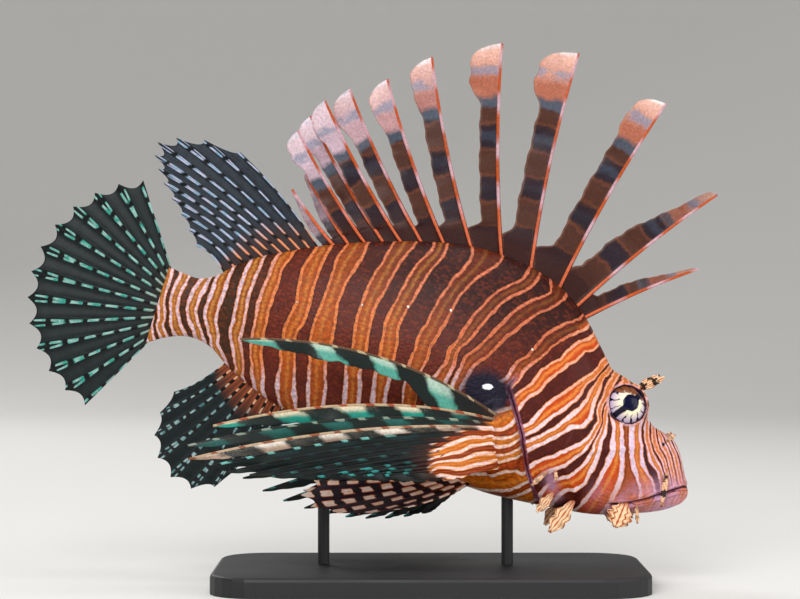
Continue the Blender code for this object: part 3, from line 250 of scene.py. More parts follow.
# The pale lines of the flank and the head, from the tail to the snout, as pixels of the photograph.
# Between an even line and the next one the skin is rust orange, and after an odd one it is dark.
PALE_LINES = (
    ((164.5, 272.5), (158.7, 318), (160, 338.5)),
    ((169, 265), (169, 278), (163, 303), (161, 325)),
    ((180, 274), (173.3, 288.7), (170.4, 312), (170.4, 325)),
    ((186.5, 278.4), (178.5, 296), (177, 312), (182, 330)),
    ((201.2, 278.4), (191, 296), (188, 312), (194, 331)),
    ((209.3, 278.4), (199.8, 296), (195.4, 312), (201.2, 332.7)),
    ((214.4, 280), (207.8, 303), (206.4, 324), (211.5, 341.5)),
    ((232.8, 266.7), (226.2, 285.7), (220.3, 303.3), (215.9, 321), (217.4, 344.4)),
    ((251, 259.3), (244.5, 277), (238, 300), (234.2, 321), (233.5, 344), (236.4, 369)),
    ((263.6, 256.4), (255.5, 277), (248.2, 299), (245.2, 321), (240, 341.5), (241.6, 374)),
    (
        (279.7, 253.5), (270.2, 274), (262.8, 293), (257, 318), (253.3, 340), (252.6, 366),
        (255.5, 385.5), (260, 409),
    ),
    (
        (293.6, 252), (281.9, 269.6), (274.6, 293), (268.7, 312), (264.3, 332.7), (261.4, 354.7),
        (262, 388), (268, 409),
    ),
    (
        (315.3, 250), (304.6, 266.7), (301, 281), (298, 302), (289, 321), (284.8, 337), (282.6, 362),
        (278.2, 388), (282, 409),
    ),
    (
        (330.6, 247.6), (323, 263), (317.6, 276), (313.8, 289.7), (310.7, 302.7), (305.4, 321),
        (296.6, 334), (295.8, 362), (296.5, 409),
    ),
    (
        (349, 241.5), (338.3, 256.8), (333.7, 272.8), (328.3, 289.7), (323, 303.5), (315.3, 321.8),
        (311.2, 362), (309, 409),
    ),
    (
        (367.3, 243.8), (363.5, 255.2), (355, 269.8), (346, 283.6), (338.3, 302.7), (336, 321.8),
        (333, 339), (326, 365), (323, 408),
    ),
    (
        (392.6, 245.3), (384.2, 260.6), (374.2, 276), (367.3, 291.2), (362.4, 305), (358, 318),
        (354.7, 342.5), (347.3, 375.7), (345.3, 409),
    ),
    (
        (412.5, 247.6), (401.8, 260.6), (391.8, 277.4), (383.4, 293.5), (376.5, 303.5), (372, 318),
        (368, 339), (360, 372), (356.8, 409),
    ),
    (
        (432.8, 249.3), (423.8, 258.3), (405.6, 283.6), (395.6, 302.7), (388, 318), (384.6, 329),
        (381.3, 351), (375, 385), (373, 409),
    ),
    (
        (447.4, 241), (444.2, 253.2), (436, 263.4), (427, 275.5), (419.4, 287.4), (407.9, 306.5),
        (397.8, 326), (393, 359), (386, 390), (382.6, 409),
    ),
    (
        (472.3, 236), (471, 258.3), (462, 271), (453.2, 278.7), (446.8, 289), (434.7, 307.4),
        (426, 324.3), (416, 345.8), (408, 372), (403, 409),
    ),
    (
        (502.3, 239), (496.5, 264.6), (485, 272.3), (474.2, 279.3), (464.6, 289), (458.3, 296.5),
        (450, 310), (439.3, 329.3), (429.4, 345.8), (419, 372), (413, 409),
    ),
    (
        (531, 263.6), (520.2, 280.5), (502.3, 288.6), (490.2, 296.5), (482, 306), (471, 318),
        (456, 342.5), (446, 359), (432.7, 375.7),
    ),
    (
        (538, 277), (528.2, 287.7), (511.3, 295.7), (498, 304.6), (485.4, 317), (475.8, 329.3),
        (457.5, 346), (445, 380),
    ),
    (
        (549.6, 279.6), (549.6, 293), (533.6, 299.3), (515.7, 309), (500.5, 323.4), (489, 335),
        (475.8, 347.5), (452, 380),
    ),
    (
        (565.7, 294.8), (556, 303), (538, 311.8), (518.4, 325.2), (502.3, 336.8), (490.7, 349.2),
        (472.8, 363), (461, 383),
    ),
    (
        (585.4, 311), (579, 318), (556, 327), (538.8, 339.2), (530.5, 349.2), (524, 355.8),
        (510.6, 365.7), (504, 377.3),
    ),
    ((585.4, 327), (564.8, 336), (549.6, 345.7), (542, 352.5), (530.5, 360.8), (520.6, 369)),
    ((586.3, 338.6), (567.5, 347.5), (558.7, 357.4), (537, 370.7), (529, 382.3)),
    (
        (598.2, 340.4), (583, 349.3), (575.3, 357), (563.8, 363.4), (554.8, 371), (542, 380),
        (525.5, 394), (518, 402),
    ),
    ((603.3, 356.4), (594.4, 368.5), (579, 378.7), (560, 391.4), (538.3, 406.7), (525.5, 420.8)),
    (
        (604, 363), (594.4, 374.8), (581.6, 382.5), (576.5, 392.7), (566.3, 401.6), (557.4, 408),
        (544.6, 415.7), (533.2, 425.9),
    ),
    (
        (522.3, 437.4), (536.2, 432.6), (551.4, 425.3), (562.9, 416.2), (571.4, 410), (579, 401.6),
        (588, 387.6), (597, 375),
    ),
    (
        (524.7, 445.3), (535, 441), (545.3, 435.6), (556.2, 430.2), (566.5, 424), (581.7, 418),
        (589.3, 404.2), (594.4, 391.4), (600.8, 377),
    ),
    (
        (535, 456.8), (551.4, 452), (566.5, 444.7), (578.6, 439.8), (587.7, 432.6), (595.6, 418.6),
        (600.8, 395.3),
    ),
    ((547, 467), (557.4, 462.9), (569.5, 455), (577.4, 449), (582.9, 442.9), (590, 432.6), (597.5, 418.5)),
    (
        (555, 475), (565.3, 472), (574.4, 466.5), (580.5, 460.5), (586.5, 452.6), (590.2, 444),
        (593.2, 435), (599.8, 416.2),
    ),
    (
        (563.5, 486.5), (572.6, 485.3), (581.7, 480.5), (585.9, 469.5), (592.6, 456.2), (594.4, 445.3),
        (596.8, 436.2), (601.7, 422.9), (604, 409),
    ),
    (
        (611, 424), (610.8, 432), (610, 441), (608, 451), (603.5, 461), (599, 471), (593, 482),
        (586.5, 492), (580, 501),
    ),
    ((617.5, 426), (616.8, 436), (617.3, 446), (618.5, 456), (618.8, 466), (616.5, 478), (611, 492)),
    ((628, 426), (628.5, 436), (628.3, 446), (628.8, 455), (630.5, 464), (633, 473), (636.5, 483)),
    ((636.8, 422), (636.8, 433), (637.6, 444), (638, 455), (640.5, 464), (645, 473), (651, 482)),
    (
        (642.9, 421.7), (642.9, 435), (645.5, 448.5), (646.2, 455), (651, 463.3), (656.3, 470),
        (657.6, 478.7),
    ),
    ((646.2, 436.5), (648.2, 445), (651, 453), (655.6, 462), (659, 468.6)),
    ((650, 440), (653, 448.5), (657, 454), (662.3, 460.6), (666.3, 467.3), (670.3, 475.3)),
    ((655, 446), (660, 453), (665.6, 462), (671, 472)),
    ((657.6, 446.5), (663.6, 452), (668.3, 458.6), (672.3, 465.3), (675, 470.6)),
    ((662.3, 445), (668.3, 452), (673, 460), (675, 465.3)),
    ((667, 442.5), (671, 448), (675.7, 456), (677, 462)),
)
# The pale lines of the breast, from the pectoral fin down to the belly, as pixels of the photograph
BREAST_LINES = (
    ((495.7, 407.3), (508.5, 405)),
    ((513, 414), (504.5, 423.3), (495.7, 424.9), (470, 424)),
    ((517.3, 428), (510, 432), (499.7, 432.8), (480.6, 434.4), (450, 438)),
    (
        (518.9, 432.8), (511.7, 436.8), (502, 440), (485.4, 438.4), (467.8, 440.8), (458.3, 446.4),
        (440, 450.4), (421.6, 456),
    ),
    (
        (516.5, 444.8), (507.7, 448), (499.7, 448.8), (487.8, 449.6), (475.8, 448.8), (467.8, 451.2),
        (446.3, 454.4),
    ),
    (
        (518, 450.4), (507.7, 451.2), (499.7, 453.6), (489.4, 456), (479.8, 458.3), (467.8, 460.7),
        (454.3, 462.3), (435.1, 460),
    ),
    (
        (522, 471), (514.9, 467.9), (506, 464.7), (498, 465.5), (489.4, 470.3), (479.8, 471),
        (464.6, 471), (447.9, 469.5), (435.1, 468.7),
    ),
    ((524, 479), (515.7, 483.9), (507.7, 487.8), (495.7, 488.6), (470, 488), (440, 484)),
    ((528, 487), (520, 491), (508, 496), (498, 499), (470, 500)),
    ((535, 498), (527, 503), (510, 507), (480, 510)),
)
# Single places of the pattern, as pixels of the photograph, except the nostril's, which are in mm. The
# nostril's dark pit is painted shade
UNDER_EYE = (626.0, 448.0)  # middle of the broad lavender stripes below the eye
RUSTY_STRIPE = 39.5  # number of the one dark stripe among them that is rust orange
FRONT_LINE = 48.0  # number of the line that follows the snout's front, and how many more each mm brings
FRONT_MORE = 0.6
FRONT_DEPTH = 4.0  # how far behind the snout's front that line runs
SNOUT_BEGINS = 98.0
NOSTRIL = (100.8, -4.9)
NOSTRIL_SWELLING = (98.5, -5.5)
NOSTRIL_DEPTH, MOUTH_DEPTH, GILL_GROOVE = 0.8, 1.9, 0.8
BAR_END = 9.0  # what takes the eye's dark bar off the skin beyond the lid
FAR_OFF = 99.0  # further than any mark of the pattern reaches
WOBBLE = 0.4  # most that the stripes' edges stray, in mm
RAY_JOINT = 0.8  # mm between the crossways joints of a soft ray, drawn at that pitch
EDGE_SINK = 0.8  # how deep the median fins' rays stand in the body, in mm
LOOP_END = ((416.0, 378.0), (407.0, 412.0))  # where the loop of two lines above the pectoral fin has closed
AXIL_SPOT = ((484.0, 391.0), (33.0, 28.0))  # middle and radii of the blue-black patch above the pectoral fin
AXIL_OVAL = ((485.5, 384.6), (6.3, 3.2))  # the white spot in it
LINE_DOTS = ((298.0, 302.0), (362.4, 305.0), (407.9, 306.5), (450.0, 310.0), (529.5, 348.6), (510.4, 366.2))


# Sizes that a user would change


LENGTH = {"subtype": "DISTANCE", "unit": "LENGTH"}


class FishSizes(bpy.types.PropertyGroup):
    """Sizes of the fish's skin, at life size."""

    sections: bpy.props.IntProperty(
        name="Sections", description="Rings of the skin from the tail to the snout", default=322, min=60
    )
    around: bpy.props.IntProperty(
        name="Points around", description="Points in each ring of the skin", default=300, min=60
    )
    gill_step: bpy.props.FloatProperty(
        name="Gill cover", description="Rise of the gill cover's edge over the flank", default=0.9 * MM,
        **LENGTH,
    )
    lip_rise: bpy.props.FloatProperty(
        name="Lips", description="Rise of each lip beside the mouth line", default=0.9 * MM,
        **LENGTH,
    )
    scale_pitch: bpy.props.FloatProperty(
        name="Scale pitch", description="Spacing of the fish's scales", default=1.3 * MM,
        **LENGTH,
    )


class FinSizes(bpy.types.PropertyGroup):
    """Sizes of the fins, at life size."""

    membrane: bpy.props.FloatProperty(
        name="Membrane", description="Thickness of the membrane between rays", default=0.36 * MM,
        **LENGTH,
    )
    ray: bpy.props.FloatProperty(
        name="Ray", description="Thickness of a soft ray at its root", default=1.3 * MM,
        **LENGTH,
    )
    spine: bpy.props.FloatProperty(
        name="Spine", description="Thickness of a dorsal spine at its root", default=2.2 * MM,
        **LENGTH,
    )


class StageSizes(bpy.types.PropertyGroup):
    """Camera, floor and lights."""

    camera_distance: bpy.props.FloatProperty(
        name="Camera distance", description="From the camera to the fish", default=1.0,
        **LENGTH,
    )
    view_width: bpy.props.FloatProperty(
        name="View width", description="Width of the view at the fish", default=0.328,
        **LENGTH,
    )
    floor_colour: bpy.props.FloatVectorProperty(
        name="Floor", description="Colour of the floor", default=(0.72, 0.715, 0.70), subtype="COLOR", size=3
    )
    key_power: bpy.props.FloatProperty(
        name="Key light", description="Power of the large light by the camera", default=18.0, unit="POWER"
    )


# Helpers for shapes and pieces


def linear(code):
    """A colour given as sRGB hex, as the linear values that Blender's shaders take."""
    values = (int(code[i : i + 2], 16) / 255.0 for i in (1, 3, 5))
    return (*(v / 12.92 if v <= 0.04045 else ((v + 0.055) / 1.055) ** 2.4 for v in values), 1.0)


def smooth_rows(rows, at):
    """Each column of rows as a smooth curve of the first one, read at the given places."""
    rows = np.array(rows, float)
    rows = rows[np.argsort(rows[:, 0])]
    x, values = rows[:, 0], rows[:, 1:]
    slopes = np.gradient(values, x, axis=0)
    at = np.clip(np.atleast_1d(at), x[0], x[-1])
    i = np.clip(np.searchsorted(x, at) - 1, 0, len(x) - 2)
    span = (x[i + 1] - x[i])[:, None]
    t = ((at - x[i])[:, None]) / span
    return (
        (2 * t**3 - 3 * t**2 + 1) * values[i]
        + (t**3 - 2 * t**2 + t) * span * slopes[i]
        + (3 * t**2 - 2 * t**3) * values[i + 1]
        + (t**3 - t**2) * span * slopes[i + 1]
    )


def step(value, low, high):
    """0 below low, 1 above high, and a smooth rise between."""
    t = np.clip((value - low) / (high - low), 0.0, 1.0)
    return t * t * (3.0 - 2.0 * t)


def hump(away, width):
    """1 where away is 0, and falling off smoothly to either side."""
    return np.exp(-((away / width) ** 2))


def unit(vectors):
    """Vectors brought to length 1."""
    return vectors / np.maximum(np.linalg.norm(vectors, axis=-1, keepdims=True), 1e-9)


def from_photo(points):
    """Pixels of the photograph as (x, z) of the fish, in millimetres."""
    points = np.asarray(points, float) - PHOTO_ORIGIN
    c, s = math.cos(NOSE_DOWN), math.sin(NOSE_DOWN)
    x = points[..., 0] * c + points[..., 1] * s
    z = points[..., 0] * s - points[..., 1] * c
    return np.stack([x, z], axis=-1) * MM_A_PIXEL


def photo_row(x, z):
    """How far below the origin's row of the photograph a point of the fish lies, in pixels."""
    return (x * math.sin(NOSE_DOWN) - z * math.cos(NOSE_DOWN)) / MM_A_PIXEL


def distance(point, x, z):
    return np.hypot(x - point[0], z - point[1])


def line_distance(points, *coordinates):
    """Distance of each place from the line through the points."""
    places = np.stack(coordinates, axis=-1)
    nearest = np.full(places.shape[:-1], 1e9)
    for one, two in zip(np.array(points[:-1], float), np.array(points[1:], float)):
        way = two - one
        share = np.clip((places - one) @ way / (way @ way), 0.0, 1.0)
        away = np.linalg.norm(places - one - share[..., None] * way, axis=-1)
        nearest = np.minimum(nearest, away)
    return nearest


def side_y(x, z):
    """Half the width of the body at x and z."""
    back, belly, half_width, widest, full_up, full_down = smooth_rows(BODY, x)[0]
    height, full = (back - widest, full_up) if z > widest else (widest - belly, full_down)
    share = min(abs(z - widest) / height, 1.0)
    return half_width * (1.0 - share**full) ** (1.0 / full)


def swell(x, z):
    """How far the gill cover stands out from the plain side of the body."""
    most, (middle_x, middle_z), (wide, high) = GILL_SWELLING
    return most * np.exp(-(((x - middle_x) / wide) ** 2) - ((z - middle_z) / high) ** 2)


def above_mouth(x, z):
    """Height over the line of the mouth."""
    line = np.array(sorted(MOUTH_LINE))
    return z - np.interp(x, line[:, 0], line[:, 1])


def to_world(points):
    """Points of the level fish, in millimetres, where they stand in the frame, in metres."""
    x, y, z = np.moveaxis(np.asarray(points, float), -1, 0)
    behind = np.maximum(BEND_START - x, 0.0)
    y = y + TAIL_SWING * (behind / (BEND_START - TAIL_END)) ** 2
    c, s = math.cos(NOSE_DOWN), math.sin(NOSE_DOWN)
    return np.stack([x * c + z * s, y, FISH_LIFT - x * s + z * c], axis=-1) * MM


def grid_quads(rows, columns, around=False):
    """Faces of a grid of points, which may close round on itself."""
    row = np.arange(rows - 1)[:, None] * columns
    left = np.arange(columns if around else columns - 1)[None, :]
    right = (left + 1) % columns
    return np.stack([row + left, row + right, row + columns + right, row + columns + left], -1).reshape(-1, 4)


class Shape:
    """A closed mesh in the making: points in the fish's own millimetres, faces, and values on the points."""

    def __init__(self, points, quads, values, triangles=None):
        self.points = np.asarray(points, float).reshape(-1, 3)
        triangles = np.empty((0, 3), int) if triangles is None else np.asarray(triangles, int)
        quads = np.asarray(quads, int)
        self.values = {}
        for name, value in values.items():
            value = np.asarray(value, float)
            self.values[name] = value.reshape(len(self.points), -1)
        if self.volume(quads, triangles) < 0:
            quads, triangles = quads[:, ::-1], triangles[:, ::-1]
        self.quads, self.triangles = quads, triangles

    def volume(self, quads, triangles):
        faces = np.concatenate([quads[:, [0, 1, 2]], quads[:, [0, 2, 3]], triangles])
        a, b, c = (self.points[faces[:, i]] for i in range(3))
        return np.einsum("ij,ij->i", a, np.cross(b, c)).sum()


def joined(shapes):
    """Several shapes as one, each staying closed in itself."""
    first = shapes[0]
    whole = Shape.__new__(Shape)
    starts = np.cumsum([0] + [len(shape.points) for shape in shapes[:-1]])
    whole.points = np.concatenate([shape.points for shape in shapes])
    whole.quads = np.concatenate([shape.quads + start for shape, start in zip(shapes, starts)])
    whole.triangles = np.concatenate([shape.triangles + start for shape, start in zip(shapes, starts)])
    whole.values = {name: np.concatenate([shape.values[name] for shape in shapes]) for name in first.values}
    return whole


def piece(name, shape, nodes, material, in_fish=True):
    """Makes the object of a shape, rides it on the fish and lets it stand for its nodes."""
    mesh = bpy.data.meshes.new(name)
    places = to_world(shape.points) if in_fish else shape.points
    faces = shape.quads.tolist() + shape.triangles.tolist()
    mesh.from_pydata(places.tolist(), [], faces)
    for key, value in shape.values.items():
        kinds = {1: ("FLOAT", "value"), 3: ("FLOAT_VECTOR", "vector"), 4: ("FLOAT_COLOR", "color")}
        kind, field = kinds[value.shape[1]]
        attribute = mesh.attributes.new(key, kind, "POINT")
        attribute.data.foreach_set(field, value.astype(np.float32).ravel())
    mesh.shade_smooth()
    mesh.materials.append(material)
    mesh.update()
    obj = bpy.data.objects.new(name, mesh)
    bpy.context.scene.collection.objects.link(obj)
    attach(obj, BODY_NAME)
    if nodes:
        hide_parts(*nodes)
    return obj


def thick_sheet(middle, half, values):
    """A closed sheet: its two faces lie half a thickness to either side of a grid of points."""
    rows, columns = middle.shape[:2]
    normal = unit(np.cross(np.gradient(middle, axis=0), np.gradient(middle, axis=1)))
    out = normal * half[..., None]
    count = rows * columns
    quads = grid_quads(rows, columns)
    index = np.arange(count).reshape(rows, columns)
    rim = np.concatenate([index[0, :-1], index[:-1, -1], index[-1, :0:-1], index[:0:-1, 0]])
    after = np.roll(rim, -1)
    edge = np.stack([after, rim, rim + count, after + count], axis=-1)
    both = {}
    for name, value in values.items():
        value = np.asarray(value, float).reshape(count, -1)
        both[name] = np.concatenate([value, value])
    points = np.concatenate([(middle + out).reshape(-1, 3), (middle - out).reshape(-1, 3)])
    return Shape(points, np.concatenate([quads, quads[:, ::-1] + count, edge]), both)


def ray_lines(roots, tips, bow, shares):
    """Points on the curves from roots to tips. All arrays broadcast together."""
    shares = shares[..., None]
    return roots + (tips - roots) * shares + bow * 4 * shares * (1 - shares)


def rod_half(away, half_thickness, half_width, membrane):
    """Half the thickness of a sheet, away from a ray that stands out from it on both faces."""
    round_part = np.sqrt(np.clip(1.0 - (away / half_width) ** 2, 0.0, 1.0))
    return np.maximum(half_thickness * round_part, membrane)


# Pattern of the skin


def plate_kernel(squares):
    """How a thin plate bends at the square of a distance."""
    return np.where(squares > 0, 0.5 * squares * np.log(np.maximum(squares, 1e-12)), 0.0)


class LineField:
    """A smooth number over the side of the fish that passes through 0, 1, 2 and so on at the given lines."""

    SOFTNESS = 4.0

    def __init__(self, lines):
        self.places = from_photo(np.array([point for line in lines for point in line]))
        numbers = np.array([i for i, line in enumerate(lines) for _ in line], float)
        count = len(self.places)
        apart = self.places[:, None] - self.places[None]
        system = np.zeros((count + 3, count + 3))
        system[:count, :count] = plate_kernel((apart**2).sum(-1)) + self.SOFTNESS * np.eye(count)
        system[:count, count] = system[count, :count] = 1.0
        system[:count, count + 1 :] = self.places
        system[count + 1 :, :count] = self.places.T
        self.weights = np.linalg.solve(system, np.concatenate([numbers, np.zeros(3)]))

    def at(self, x, z):
        places = np.stack([x.ravel(), z.ravel()], axis=-1)
        count = len(self.places)
        found = np.empty(len(places))
        for start in range(0, len(places), 20000):
            some = places[start : start + 20000]
            squares = ((some[:, None] - self.places[None]) ** 2).sum(-1)
            plane = self.weights[count] + some @ self.weights[count + 1 :]
            found[start : start + 20000] = plate_kernel(squares) @ self.weights[:count] + plane
        return found.reshape(x.shape)

    def with_pitch(self, x, z):
        """The number, and the millimetres from one line to the next."""
        small = 0.3
        here = self.at(x, z)
        across = (self.at(x + small, z) - here) / small
        up = (self.at(x, z + small) - here) / small
        return here, 1.0 / np.maximum(np.hypot(across, up), 0.02)


def gill_side(x, z):
    """Signed distance from the edge of the gill cover: above 0 on the head."""
    line = np.array(sorted(GILL_LINE, key=lambda point: point[1]))
    edge = np.interp(z, line[:, 1], line[:, 0])
    return np.sign(x - edge) * line_distance(GILL_LINE, x, z)


def colours(*stops):
    """A colour at each point: each stop is a hex code and, after the first, how much of it there is."""
    code, *others = stops
    mixed = np.array(linear(code))
    for code, share in others:
        share = np.clip(share, 0.0, 1.0)[..., None]
        mixed = mixed * (1 - share) + np.array(linear(code)) * share
    return mixed


def skin_pattern(x, y, z):
    """What the skin's material reads at each point: the stripes' numbers, widths and colours, and spots."""
    band, pitch = LineField(PALE_LINES).with_pitch(x, z)
    breast, breast_pitch = LineField(BREAST_LINES).with_pitch(x, z)
    gill = gill_side(x, z)
    row = photo_row(x, z)
    # On the front of the snout the lines follow its profile, and so run down to the lips
    profile = np.array([(z_top, at) for at, z_top, *_ in BODY if at > SNOUT_BEGINS][::-1])
    behind = np.interp(z, profile[:, 0], profile[:, 1]) - x
    frontal = step(x, 96.0, 104.0) * (1 - step(behind, 5.0, 14.0))
    band = band + frontal * (FRONT_LINE + FRONT_MORE * (FRONT_DEPTH - behind) - band)
    # How far each point belongs to the parts of the fish that have tones and widths of their own
    under_eye = hump(distance(from_photo(UNDER_EYE), x, z), 10.0)
    head = step(gill, -1.0, 1.0)
    stem = step(-x, 66.0, 82.0)
    low = np.maximum(step(row, -6.0, 26.0) * (1 - head), stem)
    snout = step(x, 84.0, 98.0)
    cheek = head * step(row, 20.0, 60.0)
    rear = step(-x, -20.0, 25.0) * (1 - head)
    shoulder = step(z, 0.0, 32.0) * step(x, -80.0, -10.0) * (1 - head)
    # The pale lines are broadest low on the flank, on the cheek and under the eye
    width = 0.6 + 0.36 * low - 0.12 * stem + 0.08 * head + 0.3 * cheek - 0.2 * snout + 0.5 * under_eye
    width = np.minimum(width, (0.26 + 0.05 * cheek) * pitch)
    loop_end = line_distance(from_photo(LOOP_END), x, z)
    width = width * (1 - hump(loop_end, 3.6))
    line = colours(
        "#c65a24", ("#e07c34", rear), ("#dcc6d6", low * 0.9), ("#e8a58c", head), ("#ecd0d4", cheek),
        ("#d8bcd0", snout * head), ("#dcc4e2", 0.8 * under_eye), ("#cc7c62", 0.7 * shoulder),
    )
    rim = colours("#d87a48", ("#ae5638", 0.7 * shoulder), ("#d8803c", low), ("#d87838", head))
    rusty = head * step(-z, -4.0, 2.0) * step(0.9 - np.abs(band - RUSTY_STRIPE), 0.0, 0.2)
    dark = colours(
        "#5e1c0a", ("#300f0b", shoulder), ("#3c210c", stem), ("#4a1108", head), ("#3a0d18", snout * head),
        ("#a04818", rusty),
    )
    fill = colours(
        "#7a2a0c", ("#b0500f", rear), ("#4c1a0c", shoulder * 0.8), ("#a8480c", low * 0.8), ("#96501a", stem),
        ("#c8480a", head), ("#cc6c40", snout * head),
    )
    # How bright the rust bands are along their middle
    glow = 0.1 + 0.2 * rear + 0.15 * stem + 0.35 * head + 0.1 * cheek - 0.25 * snout
    spot_x, spot_z = from_photo(AXIL_SPOT[0])
    spread = np.array(AXIL_SPOT[1]) * MM_A_PIXEL
    axil = 1.0 - np.hypot((x - spot_x) / spread[0], (z - spot_z) / spread[1])
    oval_x, oval_z = from_photo(AXIL_OVAL[0])
    spread = np.array(AXIL_OVAL[1]) * MM_A_PIXEL
    turned_x = (x - oval_x) * math.cos(NOSE_DOWN) + (z - oval_z) * math.sin(NOSE_DOWN)
    turned_z = (z - oval_z) * math.cos(NOSE_DOWN) - (x - oval_x) * math.sin(NOSE_DOWN)
    oval = 1.0 - np.hypot(turned_x / spread[0], turned_z / spread[1])
    dots = np.full(x.shape, FAR_OFF)
    for dot in from_photo(LINE_DOTS):
        dots = np.minimum(dots, distance(dot, x, z))
    mouth = above_mouth(x, z)
    lips = step(x, 82.0, 88.0) * np.maximum(hump(mouth + 0.5, 4.2), 0.85 * step(-mouth, 0.0, 3.0))
    lips = np.maximum(lips, 0.6 * step(x, 72.0, 84.0) * hump(mouth - 2.0, 6.0) * head)
    look = unit(np.array(EYE_LOOK))
    apart = np.stack([x, np.abs(y), z], axis=-1) - np.array(EYE_CENTRE)
    out = apart @ look
    orbit = np.where(out > BEHIND_EYE, np.linalg.norm(apart - out[..., None] * look, axis=-1), FAR_OFF)
    front = unit(np.array([1.0, 0.0, 0.0]) - look * look[0])
    upward = np.cross(front, look)
    eye_bar = np.abs(EYE_BAR[0] * (apart @ front) + EYE_BAR[1] * (apart @ upward))
    # The bar ends at the rim of the lid
    eye_bar = eye_bar + BAR_END * step(orbit, 8.7, 9.6)
    plate = hump(line_distance(PLATE_TIP, x, z), 2.4)
    below_gill = step(-gill, -0.2, 0.2) * step(-z, 3.0, 8.0)
    return {
        "band": band,
        "pitch": pitch,
        "line_width": width,
        "breast": breast,
        "breast_pitch": breast_pitch,
        "on_breast": step(x, 12.0, 18.0) * below_gill,
        "line_colour": line,
        "dark_colour": dark,
        "fill_colour": fill,
        "rim_colour": rim,
        "eye_bar": eye_bar,
        "plate": plate,
        "glow": glow,
        "orbit": orbit,
        "nostril": distance(NOSTRIL, x, z),
        "in_mouth": step(x, 84.0, 90.0),
        "gill": gill,
        "gill_shows": step(-z, -8.0, 2.0),
        "axil": axil,
        "oval": oval,
        "dots": dots,
        "lips": lips,
        "mouth": mouth,
        "scaly": 0.35 + 0.65 * step(-gill, -8.0, 2.0),
        "fish": np.stack([x, y, z], axis=-1),
    }


# Materials


def add_node(tree, kind, *values, out=0, **settings):
    """Adds a shader node with its settings and links, and gives back one of its outputs.

    The second word of its kind is its operation. The values, or other nodes' outputs, go to its sockets
    in their order, or in a dictionary by number or name.
    """
    kind, *operation = kind.split()
    made = tree.nodes.new("ShaderNode" + kind)
    if operation:
        made.operation = operation[0]
    for name, value in settings.items():
        setattr(made, name, value)
    sockets = values[0].items() if values and isinstance(values[0], dict) else enumerate(values)
    for socket, value in sockets:
        if isinstance(value, bpy.types.NodeSocket):
            tree.links.new(value, made.inputs[socket])
        else:
            made.inputs[socket].default_value = value
    return made.outputs[out]


def new_material(name, roughness, coat=0.0, coat_roughness=0.1, specular=0.5):
    """A material, what adds nodes to it, and its shader with the constant finish on its own sockets."""
    made = bpy.data.materials.new(name)
    made.use_nodes = True
    shader = made.node_tree.nodes["Principled BSDF"]
    finish = {
        "Roughness": roughness, "Specular IOR Level": specular,
        "Coat Weight": coat, "Coat Roughness": coat_roughness,
    }
    for socket, value in finish.items():
        shader.inputs[socket].default_value = value
    return made, functools.partial(add_node, made.node_tree), shader


def link(output, socket):
    socket.id_data.links.new(output, socket)


def dress(add, shader, colour, height, strength, depth, **settings):
    """Gives a shader its colour, and fine bumps of a depth in metres."""
    link(colour, shader.inputs["Base Color"])
    bump = add("Bump", {"Height": height, "Strength": strength, "Distance": depth}, **settings)
    link(bump, shader.inputs["Normal"])


def painted(add, ground, *layers):
    """The ground with each layer's colour laid over it, as far as the layer's share is above 0."""
    for share, colour in layers:
        ground, colour = (linear(tone) if isinstance(tone, str) else tone for tone in (ground, colour))
        ground = add("Mix", {0: share, 6: ground, 7: colour}, out=2, data_type="RGBA")
    return ground


def speckled(add, place, colour, scale=1.0, roughness=0.6):
    """Fine specks, about 1 mm across, and the colour made lighter and darker by them."""
    speck = add("TexNoise", {"Vector": place, "Scale": scale, "Detail": 3.0, "Roughness": roughness})
    shade = add("MapRange", speck, 0.3, 0.7, 0.8, 1.2)
    return speck, add("VectorMath SCALE", {0: colour, 3: shade})


def off_half(add, length, period, shift):
    """How far each place of a length is from the middle of its period, as a share of the period."""
    turns = add("Math ADD", add("Math DIVIDE", length, period), shift)
    return add("Math ABSOLUTE", add("Math SUBTRACT", add("Math FRACT", turns), 0.5))


def stripes(add, wobble, number, pitch, width, line, rim, dark, fill, glow):
    """Pale lines with dark and rust bands between them, from a number that is whole on each line."""
    number = add("Math ADD", number, add("Math DIVIDE", wobble, pitch))
    off = add("Math ABSOLUTE", add("Math SUBTRACT", number, add("Math ROUND", number)))
    beyond = add("Math SUBTRACT", add("Math MULTIPLY", off, pitch), width)
    odd = add("Math FLOORED_MODULO", add("Math FLOOR", number), 2.0)
    # The rust bands are brightest along their middle, the dark ones blackest beside the lines
    middle = add("Math MULTIPLY", add("Math SUBTRACT", 0.5, off), pitch)
    bright = add("Math MULTIPLY", add("MapRange", middle, 1.1, 0.0), glow)
    near = add("MapRange", beyond, 0.9, 0.1)
    edge = add("Math MULTIPLY", near, add("Math MULTIPLY_ADD", odd, 0.45, 0.25))
    pale = painted(add, line, (add("MapRange", beyond, -0.42, -0.16), rim))
    on_line = add("MapRange", beyond, 0.12, -0.1)
    return painted(add, fill, (bright, "#f0a84c"), (odd, dark), (edge, "#170609"), (on_line, pale))


def breast_stripes(add, wobble, number, pitch):
    """The breast and the root of the pectoral fin: bright orange with cream lines."""
    width = add("Math MINIMUM", add("Math MULTIPLY", pitch, 0.24), 0.85)
    return stripes(add, wobble, number, pitch, width, "#ecccc8", "#e09040", "#a8400a", "#c8620c", 0.3)


